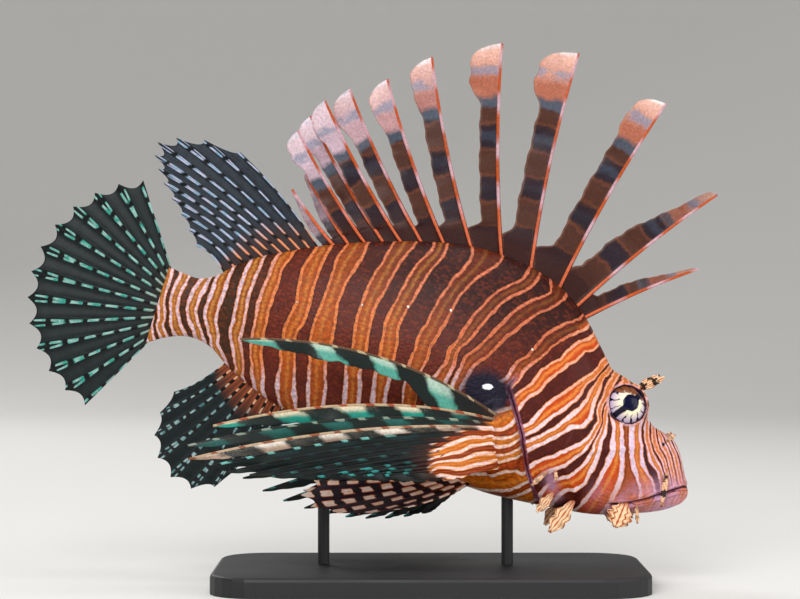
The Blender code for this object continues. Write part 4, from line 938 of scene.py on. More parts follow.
def skin_material(sizes):
    """Fish skin, scaled and wet: a satin surface under a thin clear film, which gives small soft glints."""
    made, add, shader = new_material(
        "fish_skin_scaled_wet", 0.42, coat=0.03, coat_roughness=0.15, specular=0.18
    )
    place = add("Attribute", out=1, attribute_name="fish")
    names = (
        "band", "pitch", "line_width", "glow", "breast", "breast_pitch", "on_breast", "gill", "gill_shows",
        "plate", "lips", "mouth", "in_mouth", "orbit", "nostril", "eye_bar", "scaly", "axil", "oval", "dots",
    )
    at = {name: add("Attribute", out=2, attribute_name=name) for name in names}
    line, rim, dark, fill = (
        add("Attribute", attribute_name=f"{part}_colour") for part in ("line", "rim", "dark", "fill")
    )
    # The stripes' edges wobble by up to 0.4 mm over about 3 mm, and their width varies over about 8 mm
    rough_edge = add("TexNoise", {"Vector": place, "Scale": 0.33, "Detail": 3.0, "Roughness": 0.55})
    wobble = add("MapRange", rough_edge, 0.2, 0.8, -WOBBLE, WOBBLE)
    uneven = add("TexNoise", {"Vector": place, "Scale": 0.12, "Detail": 3.0})
    width = add("Math MULTIPLY", at["line_width"], add("MapRange", uneven, 0.3, 0.7, 0.7, 1.3))
    flank = stripes(add, wobble, at["band"], at["pitch"], width, line, rim, dark, fill, at["glow"])
    # The soft lavender edge of the gill cover, with a dark line down its middle
    gill = add("Math ABSOLUTE", add("Math ADD", at["gill"], wobble))
    edge, edge_line = (
        add("Math MULTIPLY", add("MapRange", gill, far, near), at["gill_shows"])
        for far, near in ((1.3, 0.9), (0.5, 0.2))
    )
    soft = painted(add, "#a06888", (add("MapRange", uneven, 0.4, 0.6), "#7a3438"))
    plate = add("Math MULTIPLY", at["plate"], add("MapRange", rough_edge, 0.25, 0.5))
    # Lips and jaw: lavender pink, with maroon lines that run beside the mouth
    course = add("Math MULTIPLY_ADD", uneven, 5.0, at["mouth"])
    veins = add("Math ABSOLUTE", add("Math SINE", add("Math MULTIPLY", course, 1.9)))
    from_mouth = add("Math ABSOLUTE", at["mouth"])
    vein = add("Math MULTIPLY", add("MapRange", veins, 0.3, 0.12), add("MapRange", from_mouth, 4.0, 2.0))
    lips = painted(add, "#c596b4", (add("MapRange", uneven, 0.4, 0.62), "#c8745a"), (vein, "#7a2430"))
    # A dark line along the mouth: painted shade in the gap between the jaws, over the sunken mouth groove
    slit_shade = add("MapRange", from_mouth, 0.6, 0.3)
    slit_shade = add("Math MULTIPLY", slit_shade, add("MapRange", at["in_mouth"], 0.3, 0.7))
    # Dark and salmon rings round the eye, and the dark bar that runs on from it
    orbit = add("Math ADD", at["orbit"], wobble)
    ring = painted(add, "#b0542c", (add("MapRange", rough_edge, 0.45, 0.55), "#d8b0b8"))
    ring_share = add("Math MULTIPLY", add("MapRange", orbit, 9.3, 8.9), 0.6)
    bar = add("MapRange", add("Math ADD", at["eye_bar"], wobble), 2.0, 1.6)
    # Each scale has its own tone and a darker border, and some in the dark bands are rust
    stretch = add("Mapping", {"Vector": place, "Scale": (0.8, 1.0, 1.15)})
    cells = add("TexVoronoi", {"Vector": stretch, "Scale": MM / sizes.scale_pitch})
    tone = add("SeparateColor", cells.node.outputs["Color"])
    rusty, border = (
        add("Math MULTIPLY", add("MapRange", value, low, high), add("Math MULTIPLY", at["scaly"], most))
        for value, low, high, most in ((tone, 0.5, 0.9, 0.16), (cells, 0.35, 0.75, 0.35))
    )
    # Blue-black patch with its white oval above the pectoral fin
    axil = add("Math MULTIPLY_ADD", wobble, 0.15, at["axil"])
    colour = painted(
        add, flank,
        (
            add("MapRange", at["on_breast"], 0.45, 0.55),
            breast_stripes(add, wobble, at["breast"], at["breast_pitch"]),
        ),
        (edge, soft),
        (edge_line, "#34101c"),
        (plate, "#b08098"),
        (at["lips"], lips),
        (slit_shade, "#3a1018"),
        (ring_share, ring),
        (add("MapRange", orbit, 8.4, 8.1), "#35111a"),
        # The nostril's pit is painted dark: painted shade in the hole, over its shallow dip in the skin
        (add("MapRange", at["nostril"], 0.9, 0.6), "#1c0a10"),
        (bar, "#1a0c1c"),
        (rusty, "#a8441a"),
        (border, "#1c0a08"),
        (add("MapRange", axil, 0.0, 0.4), "#100a20"),
        (add("MapRange", at["oval"], 0.0, 0.18), "#f2f4f8"),
        (add("MapRange", at["dots"], 0.65, 0.45), "#f1ece4"),
    )
    speck, colour = speckled(add, place, colour)
    height = add("Math MULTIPLY_ADD", speck, -0.3, add("Math MULTIPLY", cells, at["scaly"]))
    dress(add, shader, colour, height, 0.6, 0.3 * MM, invert=True)
    link(add("MapRange", speck, 0.3, 0.7, 0.42, 0.58), shader.inputs["Roughness"])
    return made


def fin_material(name, tones, period, fill, line, base_reach):
    """Thin wet fin membrane over bony rays: satin, with pale dashes along each ray and dark spots between."""
    made, add, shader = new_material(name, 0.45, coat=0.03, coat_roughness=0.2, specular=0.18)
    membrane, base, spot, rim, dash, other_dash, base_dash = tones
    place = add("Attribute", out=1, attribute_name="fish")
    along, number, off, share = (
        add("Attribute", out=2, attribute_name=word)
        for word in ("along", "ray_number", "ray_distance", "share")
    )
    noise = add("TexNoise", {"Vector": place, "Scale": 0.3, "Detail": 4.0, "Roughness": 0.6})
    # Each ray starts its dashes a little differently, and each dash is a rounded oblong
    shift = add("TexWhiteNoise", {1: add("Math ROUND", number)}, noise_dimensions="1D")
    inside = off_half(add, add("Math MULTIPLY_ADD", noise, 4.0, along), period, shift)
    ragged = add("Math MAXIMUM", add("Math MULTIPLY_ADD", noise, -0.5, off), 0.0)
    aside = add("Math POWER", add("Math DIVIDE", ragged, line), 3.0)
    ahead = add("Math POWER", add("Math DIVIDE", inside, fill / 2), 9.0)
    reach = add("Math POWER", add("Math ADD", aside, ahead), 1.0 / 3.0)
    soft = 0.1 / line
    dashes = add("MapRange", reach, 1.0 + soft, 1.0 - soft)
    rims = add("MapRange", reach, 1.45 + soft, 1.15 + soft)
    # The colour of the fin's base runs out further along each ray than between them
    near_base = add("MapRange", add("Math MULTIPLY_ADD", noise, 0.12, share), base_reach + 0.16, base_reach)
    finger = add("Math MULTIPLY_ADD", add("MapRange", off, 1.6, 0.6), 0.6, 0.3)
    blot = add("Math SUBTRACT", add("MapRange", off, line + 0.75, line + 0.3), dashes)
    dim = add("MapRange", noise, 0.3, 0.7, 0.6, 1.5)
    colour = painted(
        add, add("VectorMath SCALE", {0: linear(membrane)[:3], 3: dim}),
        (add("Math MULTIPLY", near_base, finger), base),
        (add("Math MAXIMUM", blot, 0.0), spot),
        (rims, rim),
        (dashes, painted(add, dash, (add("MapRange", noise, 0.42, 0.6), other_dash), (near_base, base_dash))),
    )
    joints = add("Math SINE", add("Math MULTIPLY", along, 2 * math.pi / RAY_JOINT))
    dress(add, shader, colour, add("Math MULTIPLY_ADD", joints, 0.25, noise), 0.3, 0.2 * MM)
    return made


def pennant_material():
    """Spine and its trailing skin, wet: satin bands of brown and slate, with a pale peach flag at the tip."""
    made, add, shader = new_material(
        "spine_and_pennant_skin_wet", 0.48, coat=0.03, coat_roughness=0.2, specular=0.18
    )
    place = add("Attribute", out=1, attribute_name="fish")
    along, left, off, flag, number, across = (
        add("Attribute", out=2, attribute_name=name)
        for name in ("along", "from_tip", "ray_distance", "flag", "ray_number", "across")
    )
    shift = add("TexWhiteNoise", {1: number}, noise_dimensions="1D")
    noise = add("TexNoise", {"Vector": place, "Scale": 0.13, "Detail": 5.0, "Roughness": 0.65})
    # Slate and brown bands, each about 10 mm long, with a wavy border
    uneven = add("Math MULTIPLY_ADD", noise, 7.0, along)
    part = off_half(add, uneven, 21.0, shift)
    high = add("Math MULTIPLY", add("MapRange", along, 25.0, 55.0), 0.7)
    blue = add("Math MULTIPLY", add("MapRange", part, 0.12, 0.04), high)
    seam = add("Math MULTIPLY", add("MapRange", part, 0.2, 0.24), add("MapRange", part, 0.3, 0.26))
    root = add("MapRange", add("Math MULTIPLY_ADD", noise, 8.0, along), 22.0, 10.0)
    # The flag: peach, whiter at its end, with one slate band across it and one at its foot, and a paler
    # lavender on the hindmost spines
    tip = add("Math MULTIPLY_ADD", noise, 6.0, left)
    peach = add("Math MULTIPLY", add("MapRange", tip, 25.0, 23.0), flag)
    foot = add("Math MULTIPLY", add("MapRange", tip, 22.0, 23.5), add("MapRange", tip, 29.0, 27.5))
    foot = add("Math MULTIPLY", foot, add("Math MULTIPLY", flag, 0.85))
    band = add("Math MULTIPLY", add("MapRange", tip, 11.0, 12.5), add("MapRange", tip, 16.5, 15.0))
    band = add("Math MULTIPLY", band, add("MapRange", noise, 0.38, 0.5))
    pale = painted(
        add, "#a25e48",
        (add("MapRange", tip, 18.0, 6.0), "#d8a898"),
        (add("MapRange", tip, 5.5, 4.0), "#e4d2d2"),
        (add("MapRange", number, 4.0, 8.0, 0.0, 0.55), "#c4bed4"),
        (add("Math MULTIPLY", band, 0.75), "#808498"),
    )
    # The loose edge of the skin is thin and pale, and the spine orange with long pinkish white stretches
    margin = add("MapRange", add("Math MULTIPLY_ADD", noise, -0.2, across), 0.8, 0.9)
    stretch = add("MapRange", off_half(add, uneven, 19.0, shift), 0.12, 0.3)
    bone = painted(add, "#c49aa4", (stretch, "#b04a18"), (add("MapRange", along, 22.0, 10.0), "#c8603a"))
    colour = painted(
        add, "#221620",
        (add("MapRange", part, 0.17, 0.3), "#47261a"),
        (blue, "#36404f"),
        (add("Math MULTIPLY", seam, 0.3), "#8a4a26"),
        (root, "#32130e"),
        (foot, "#46505e"),
        (peach, pale),
        (add("Math MULTIPLY", margin, 0.3), "#b08068"),
        (add("MapRange", off, 0.75, 0.5), bone),
    )
    speck, colour = speckled(add, place, colour, 1.1, 0.5)
    dress(add, shader, colour, add("Math MULTIPLY_ADD", noise, 2.0, speck), 0.35, 0.3 * MM)
    return made


def pectoral_material():
    """Long pectoral rays with their trailing skin, wet: dark ribbons with turquoise and cream bars."""
    made, add, shader = new_material(
        "pectoral_ribbon_skin_wet", 0.42, coat=0.04, coat_roughness=0.2, specular=0.2
    )
    place = add("Attribute", out=1, attribute_name="fish")
    along, off, number, past_root, breast, pitch = (
        add("Attribute", out=2, attribute_name=name)
        for name in ("along", "ray_distance", "ray_number", "past_root", "breast", "breast_pitch")
    )
    pale, ray, dash = (add("Attribute", attribute_name=f"{part}_colour") for part in ("pale", "ray", "dash"))
    shift = add("TexWhiteNoise", {1: number}, noise_dimensions="1D")
    noise = add("TexNoise", {"Vector": place, "Scale": 0.12, "Detail": 5.0, "Roughness": 0.65})
    # Bars of about 24 mm on the skin, and short dashes along the edge of each ray
    uneven = add("Math MULTIPLY_ADD", noise, 9.0, along)
    bars, dashes = (off_half(add, uneven, period, shift) for period in (24.0, 9.5))
    bone = painted(add, dash, (add("MapRange", dashes, 0.12, 0.17), ray))
    root = add("MapRange", add("Math MULTIPLY_ADD", noise, 10.0, along), 34.0, 18.0)
    # The fleshy root carries on the lines of the breast. It runs on furthest along each ray, and is
    # browner beyond
    wobble = add("MapRange", noise, 0.2, 0.8, -WOBBLE, WOBBLE)
    beyond = add("Math MULTIPLY_ADD", noise, 7.0, add("Math MULTIPLY_ADD", off, 1.8, past_root))
    brown = add("Math MULTIPLY", add("MapRange", beyond, 15.0, 4.0), 0.75)
    colour = painted(
        add, "#0c1815",
        (add("MapRange", bars, 0.24, 0.34), pale),
        (root, "#10100f"),
        (add("MapRange", off, 0.7, 0.45), bone),
        (brown, "#42190a"),
        (add("MapRange", beyond, 6.0, 2.5), breast_stripes(add, wobble, breast, pitch)),
    )
    speck, colour = speckled(add, place, colour)
    dress(add, shader, colour, add("Math MULTIPLY_ADD", noise, 2.0, speck), 0.35, 0.3 * MM)
    return made


def flap_material():
    """Thin flaps of soft skin: satin cream with rust veins that fan out to the frilled edge."""
    made, add, shader = new_material("skin_flap_soft_wet", 0.5, coat=0.03, coat_roughness=0.3, specular=0.2)
    place = add("Attribute", out=1, attribute_name="fish")
    share, vein, barred = (
        add("Attribute", out=2, attribute_name=name) for name in ("share", "vein", "barred")
    )
    noise = add("TexNoise", {"Vector": place, "Scale": 0.45, "Detail": 4.0, "Roughness": 0.7})
    veins = add("MapRange", add("Math MULTIPLY_ADD", noise, 0.7, vein), 0.95, 0.65)
    bars = add("Math SINE", add("Math MULTIPLY_ADD", share, 16.0, add("Math MULTIPLY", noise, 7.0)))
    colour = painted(
        add, "#efcaa2",
        (veins, "#b4551c"),
        (add("Math MULTIPLY", add("MapRange", bars, 0.1, 0.5), barred), "#2a150e"),
        (add("MapRange", share, 0.25, 0.0), "#a8522c"),
    )
    dress(add, shader, colour, noise, 0.4, 0.3 * MM)
    return made


def eye_material():
    """Eye under a clear wet cornea: a cream iris with blue-black spokes round a dark pupil."""
    made, add, shader = new_material("eye_glossy_cornea", 0.15, coat=0.1, coat_roughness=0.02, specular=0.12)
    iris = add("Attribute", out=1, attribute_name="iris")
    forward, upward = add("SeparateXYZ", iris).node.outputs[:2]
    radius = add("VectorMath LENGTH", iris, out=1)
    noise = add("TexNoise", {"Vector": iris, "Scale": 0.5, "Detail": 1.0})
    # Thirteen spokes are thin by the pupil and widen towards the rim, with some of them missing
    turn = add("Math ARCTAN2", upward, forward)
    spoke = add("Math SINE", add("Math MULTIPLY_ADD", turn, 13.0, add("Math MULTIPLY", noise, 7.0)))
    spokes = add("MapRange", add("Math MULTIPLY_ADD", radius, 0.16, spoke), 1.62, 1.8)
    spokes = add("Math MULTIPLY", spokes, add("MapRange", noise, 0.35, 0.5))
    # The upper part lies in the shade of the brow, and a dark bar runs through the pupil, from the upper
    # front to the lower back
    brow = add("Math MULTIPLY_ADD", noise, 5.0, upward)
    across = add("Math MULTIPLY_ADD", forward, EYE_BAR[0], add("Math MULTIPLY", upward, EYE_BAR[1]))
    bar = add("Math MULTIPLY_ADD", noise, 1.0, add("Math ABSOLUTE", across))
    pupil = add("Math MULTIPLY_ADD", noise, 0.8, radius)
    colour = painted(
        add, "#f6ebca",
        (add("MapRange", radius, 4.4, 7.4), "#c2aed0"),
        (add("MapRange", brow, 5.2, 6.4), "#7a4424"),
        (spokes, "#141430"),
        (add("MapRange", bar, 1.9, 1.5), "#14122a"),
        (add("MapRange", pupil, 3.95, 3.65), "#0a0d2c"),
        (add("MapRange", radius, 8.0, 8.4), "#2a1014"),
    )
    link(colour, shader.inputs["Base Color"])
    return made


def stand_material():
    """Steel, sprayed with fine matt black paint: a faint orange-peel grain and slightly worn sheen."""
    made, add, shader = new_material("steel_matt_black_paint", 0.55, specular=0.4)
    place = add("TexCoord", out=3)
    # Spray grain of about 0.4 mm, drawn at twice its size so that it shows
    grain = add("TexNoise", {"Vector": place, "Scale": 1200.0, "Detail": 2.0})
    cloud = add("TexNoise", {"Vector": place, "Scale": 18.0, "Detail": 3.0})
    dress(add, shader, painted(add, "#1b1b1d", (cloud, "#242427")), grain, 0.25, 0.1 * MM)
    link(add("MapRange", cloud, 0.3, 0.7, 0.48, 0.62), shader.inputs["Roughness"])
    return made


def floor_material(colour):
    """Seamless paper, matt and pale, with a very faint tooth."""
    made, add, shader = new_material("studio_paper_pale", 0.9, specular=0.2)
    tooth = add("TexNoise", {"Vector": add("TexCoord", out=3), "Scale": 300.0, "Detail": 2.0})
    darker = tuple(0.985 * v for v in colour) + (1.0,)
    link(painted(add, darker, (tooth, (*colour, 1.0))), shader.inputs["Base Color"])
    return made


# Shapes of the fish


def body_rings(sizes):
    """Rings of the plain body: x of each section, and the points round it."""
    nose = (117.0, -21.8, -23.2, 0.7, -22.5, 2.0, 2.0)
    front = 45.0
    head_share = 0.53
    low, high = BODY[0][0], nose[0]
    many = round(sizes.sections * head_share)
    xs = np.concatenate([
        np.linspace(low, front, sizes.sections - many, endpoint=False), np.linspace(front, high, many)
    ])
    back, belly, half_width, widest, full_up, full_down = smooth_rows((*BODY, nose), xs).T[:, :, None]
    angle = (np.arange(sizes.around) / sizes.around * 2 * math.pi)[None, :]
    up, out = np.cos(angle), np.sin(angle)
    height = np.where(up >= 0, back - widest, widest - belly)
    full = np.where(up >= 0, full_up, full_down)
    y = half_width * np.copysign(np.abs(out) ** (2.0 / full), out)
    z = widest + height * np.copysign(np.abs(up) ** (2.0 / full), up)
    x = np.broadcast_to(xs[:, None], y.shape)
    return np.stack([x, y, z], axis=-1)


def ring_normals(points):
    """Which way each point of the rings faces."""
    wrapped = np.concatenate([points[:, -1:], points, points[:, :1]], axis=1)
    across = wrapped[:, 2:] - wrapped[:, :-2]
    along = np.gradient(points, axis=0)
    return unit(np.cross(along, across))


def relief(points, sizes):
    """How far the skin stands out from the plain body at each point."""
    x, y, z = np.moveaxis(points, -1, 0)
    side = np.abs(y)
    gill = gill_side(x, z)
    head = step(gill, -0.5, 0.4)
    flank = step(side, 2.0, 8.0)
    rise = swell(x, z) * head * flank
    edge_shows = step(-z, -6.0, 6.0) * step(-gill, -9.0, -1.0) * flank
    on_cover = step(gill, -0.3, 0.5) * hump(np.maximum(gill, 0.0), 5.0)
    rise = rise + edge_shows * (sizes.gill_step / MM * on_cover)
    rise = rise - edge_shows * GILL_GROOVE * hump(gill + 0.8, 0.8) * step(-z, -4.0, 6.0)
    (top_x, top_z), (low_x, low_z) = PECTORAL_ROOT
    lean = math.atan2(low_x - top_x, top_z - low_z)
    aside, above = x - (top_x + low_x) / 2, z - (top_z + low_z) / 2
    across = (aside * math.cos(lean) + above * math.sin(lean)) / PAD_RADII[0]
    along = (above * math.cos(lean) - aside * math.sin(lean)) / PAD_RADII[1]
    mound = np.sqrt(np.clip(1.0 - across**2 - along**2, 0.0, 1.0))
    rise = rise + PAD_RISE * mound * step(-gill, -0.2, 1.6) * flank
    for ridge, height in RIDGES:
        rise = rise + height * hump(line_distance(ridge, x, z), RIDGE_WIDTH) * step(side, 1.0, 4.0)
    rise = rise + BROW_RISE * hump(line_distance(BROW, x, side, z), 1.9)
    mouth = above_mouth(x, z)
    in_front = step(x, 84.0, 90.0) * (1 - 0.75 * step(x, 108.0, 115.5))
    lip = sizes.lip_rise / MM
    rise = rise + in_front * lip * (hump(mouth - 1.6, 1.1) + hump(mouth + 1.8, 1.1))
    rise = rise - in_front * MOUTH_DEPTH * hump(mouth, 0.6)
    rise = rise - 0.25 * hump(line_distance(LATERAL_LINE, x, z), 0.5) * step(side, 1.0, 4.0)
    rise = rise + 0.6 * hump(distance(NOSTRIL_SWELLING, x, z), 2.2) * step(side, 0.5, 2.0)
    return rise - NOSTRIL_DEPTH * hump(distance(NOSTRIL, x, z), 0.7)


def with_orbits(points):
    """Raises the skin to a rim round each eye, and sinks it behind the eyeball."""
    points = points.copy()
    look = unit(np.array(EYE_LOOK))
    for side in (-1.0, 1.0):
        mirror = np.array([1.0, side, 1.0])
        way, centre = look * mirror, np.array(EYE_CENTRE) * mirror
        apart = points - centre
        out = apart @ way
        off = np.linalg.norm(apart - out[..., None] * way, axis=-1)
        cup = np.sqrt(np.clip(CUP_RADIUS**2 - off**2, 0.0, None))
        wall = np.where(off < CUP_RADIUS, np.minimum(cup, CUP_REACH), -20.0)
        soft = 0.8
        raised = np.maximum(out, wall) + 0.5 * soft * np.exp(-np.abs(out - wall) / soft)
        rim = LID_RISE - 0.9 * step(off, LID_RADIUS, LID_RADIUS + 1.6)
        inner = SOCKET_FLOOR + (rim - SOCKET_FLOOR) * step(off, LID_RADIUS - 1.1, LID_RADIUS)
        outer = step(off, LID_RADIUS + LID_WIDTH, LID_RADIUS + LID_EASE)
        target = np.where(off < LID_RADIUS + LID_WIDTH, inner, rim + (raised - rim) * outer)
        near = (points[..., 1] * side > 0) & (off < LID_RADIUS + LID_EASE) & (out > BEHIND_EYE)
        change = np.where(near, target - out, 0.0)
        points = points + change[..., None] * way
    return points


def skin_shape(sizes):
    """The skin from the root of the tail fin to the snout, closed at both ends."""
    plain = body_rings(sizes)
    raised = plain + ring_normals(plain) * relief(plain, sizes)[..., None]
    raised = with_orbits(raised)
    rows, columns = raised.shape[:2]
    x, y, z = np.moveaxis(plain, -1, 0)
    ends = raised[[0, -1]].mean(axis=1)
    end_values = {}
    for name, value in skin_pattern(x, y, z).items():
        value = value.reshape(rows * columns, -1)
        end_values[name] = np.concatenate([value, value[:1], value[-1:]])
    points = np.concatenate([raised.reshape(-1, 3), ends])
    ring = np.arange(columns)
    after = (ring + 1) % columns
    count = rows * columns
    tail = np.stack([after, ring, np.full(columns, count)], axis=-1)
    snout = np.stack([ring, after, np.full(columns, count)], axis=-1) + np.array(
        [count - columns, count - columns, 1]
    )
    return Shape(points, grid_quads(rows, columns, True), end_values, np.concatenate([tail, snout]))


def fan_shape(roots, tips, bow, thickness, membrane, rows=60, between_rays=20, dip=0.07, wave=0.35):
    """A webbed fan of branching soft rays with a scalloped margin, as one closed sheet."""
    count = len(roots)
    number = np.linspace(0.0, count - 1.0, (count - 1) * between_rays + 1)
    keyed = np.column_stack([np.arange(count), roots, tips])
    ends = smooth_rows(keyed, number)
    part = number - np.floor(number)
    share = np.linspace(0.0, 1.0, rows)[:, None]
    reach = share * (1.0 - dip * 4 * part * (1 - part) * share**4)
    middle = ray_lines(ends[None, :, :3], ends[None, :, 3:], np.array(bow, float), reach)
    spacing = np.linalg.norm(np.gradient(middle, axis=1), axis=-1) * between_rays
    away = np.minimum(part, 1 - part) * spacing
    # The rows of dashes part once along each ray, and the ray itself forks twice
    drawn = np.abs(away - 0.11 * spacing * step(share, 0.55, 0.95))
    for apart, begins, ends_at in ((0.15, 0.4, 0.75), (0.06, 0.68, 0.95)):
        away = np.abs(away - apart * spacing * step(share, begins, ends_at))
    middle[..., 1] += wave * np.sin(2 * math.pi * number) * share
    half_thick = thickness / 2 * (1 - 0.62 * share)
    half = rod_half(away, half_thick, 0.55 - 0.2 * share, membrane / 2)
    half = half * (1 - 0.4 * step(share, 0.93, 1.0))
    along = np.linalg.norm(ends[:, 3:] - ends[:, :3], axis=-1)[None] * reach
    values = {
        "along": along,
        "ray_number": np.broadcast_to(np.round(number), along.shape),
        "ray_distance": drawn,
        "share": np.broadcast_to(share, along.shape),
        "fish": middle,
    }
    return thick_sheet(middle, half, values)


def edge_heights(xs, column, sink):
    """Height of the back or belly, as its column in BODY says, moved by sink."""
    return smooth_rows(BODY, xs)[:, column] + sink


def median_roots(first, last, count, column, sink):
    """Roots of the rays of a fin on the back or belly."""
    xs = np.linspace(first, last, count)
    return np.column_stack([xs, np.zeros(count), edge_heights(xs, column, sink)])


def flat_tips(tips):
    return np.array([(x, 0.0, z) for x, z in tips])


def caudal_ends():
    """Roots and tips of the tail fin's rays."""
    roots, tips = [], []
    top, bottom = CAUDAL_ROOT_Z
    high, low = (math.radians(a) for a in CAUDAL_ANGLES)
    middle = (top + bottom) / 2
    for share in np.linspace(0.0, 1.0, CAUDAL_RAYS):
        angle = high + (low - high) * share
        length = CAUDAL_RADIUS * (0.94 + 0.06 * math.sin(math.pi * share))
        roots.append((BODY[0][0] + 1.5, 0.0, top + (bottom - top) * share))
        tips.append((BODY[0][0] - length * math.cos(angle), 0.0, middle + length * math.sin(angle)))
    return np.array(roots), np.array(tips)


def spine_lines():
    """Root and tip of each dorsal spine, the way to its rear, and the widths of its pennant and flag."""
    made = []
    for x, tip_x, tip_z, wide, flag, lean in DORSAL_SPINES:
        root = np.array([x, 0.0, edge_heights(x, 0, -SPINE_SINK)[0]])
        tip = np.array([tip_x, lean, tip_z])
        chord = tip - root
        behind = unit(np.array([-chord[2], 0.0, chord[0]]))
        if behind[0] > 0:
            behind = -behind
        made.append((root, tip, behind, wide, flag))
    return made


def pennant_width(share, wide, flag):
    """Width of a pennant along its spine, with a flag at its tip where that is wide enough."""
    narrow, full = (0.7, 0.84) if flag > FLAG_WIDTH else (0.35, 0.95)
    width = wide + (flag - wide) * step(share, narrow, full)
    left = np.clip((1.0 - share) / 0.09, 0.0, 1.0)
    return np.maximum(width * np.sqrt(1.0 - (1.0 - left) ** 2), 0.35)


def ribbon(front, far, across, ray_half, thick, sway, membrane):
    """Skin from a ray's front edge to a far edge, swaying more and more across.

    It gives the middle of the sheet, the way across it, how far each point is from the ray, and half the
    thickness there.
    """
    middle = front[:, None] + (far - front)[:, None] * across[None, :, None]
    middle[..., 1] += across[None, :] ** 1.5 * sway[:, None]
    reach = np.linalg.norm(far - front, axis=-1)[:, None] * across[None, :]
    away = np.abs(reach - ray_half[:, None])
    half = rod_half(away, thick[:, None], ray_half[:, None] * 1.02, membrane / MM / 2)
    half[:, 0] = SHEET_EDGE
    return middle, reach, away, half


def spiny_dorsal_shape(sizes):
    """Thirteen tapered spines, each with its own wavy pennant, on a low web along the back."""
    rows, columns = 130, 22
    share = np.linspace(0.0, 1.0, rows)
    across = np.linspace(0.0, 1.0, columns) ** 1.25
    shapes = []
    lines = spine_lines()
    for number, (root, tip, behind, wide, flag) in enumerate(lines):
        length = np.linalg.norm(tip - root)
        bow = behind * length * SPINE_BOW
        line = ray_lines(root, tip, bow, share)
        ray_half = 1.0 - 0.65 * share
        width = pennant_width(share, wide, flag)
        ragged = 1.0 + 0.03 * np.sin(share * 37.0 + number) + 0.015 * np.sin(share * 91.0 + 2 * number)
        far = line + behind * (width * ragged)[:, None]
        if number + 1 < len(lines):
            next_root, next_tip, next_behind, *_ = lines[number + 1]
            next_length = np.linalg.norm(next_tip - next_root)
            after = ray_lines(next_root, next_tip, next_behind * next_length * SPINE_BOW, share)
            web = (1.0 - step(share, 0.09, 0.17))[:, None]
            far = far + (after - far) * web
        phase = number * 1.7
        sway = 0.9 * np.sin(share * 17.0 + phase) + 0.5 * np.sin(share * 39.0 + 2 * phase)
        middle, _, away, half = ribbon(
            line - behind * ray_half[:, None], far, across, ray_half,
            (sizes.spine / MM / 2) * (1 - 0.62 * share), sway * step(share, 0.15, 0.5), sizes.membrane,
        )
        along = np.broadcast_to((share * length)[:, None], half.shape)
        shapes.append(thick_sheet(middle, half, {
            "along": along,
            "from_tip": length - along,
            "ray_number": np.full(half.shape, number),
            "ray_distance": away,
            "flag": np.full(half.shape, 1.0 if flag > FLAG_WIDTH else 0.55),
            "across": np.broadcast_to(across[None, :], half.shape),
            "fish": middle,
        }))
    return joined(shapes)


def pectoral_direction(share, side, pose):
    """The way a pectoral ray points, from the share of the rays above it."""
    first, more = pose["down"]
    down = math.radians(first + more * share ** pose["spread"] - pose["lift"] * share**2)
    first, last = pose["out"]
    out = math.radians(first + (last - first) * share)
    flat = math.cos(down) * math.cos(out)
    return np.array([-flat, side * math.sin(out), -math.sin(down) * math.cos(out)])


def pectoral_length(share):
    """Length of a pectoral ray, from the share of the rays above it."""
    first, longest, last = PECTORAL_LENGTHS
    if share < PECTORAL_LONGEST:
        return first + (longest - first) * (0.5 - 0.5 * math.cos(math.pi * share / PECTORAL_LONGEST))
    return longest + (last - longest) * ((share - PECTORAL_LONGEST) / (1.0 - PECTORAL_LONGEST)) ** 1.15


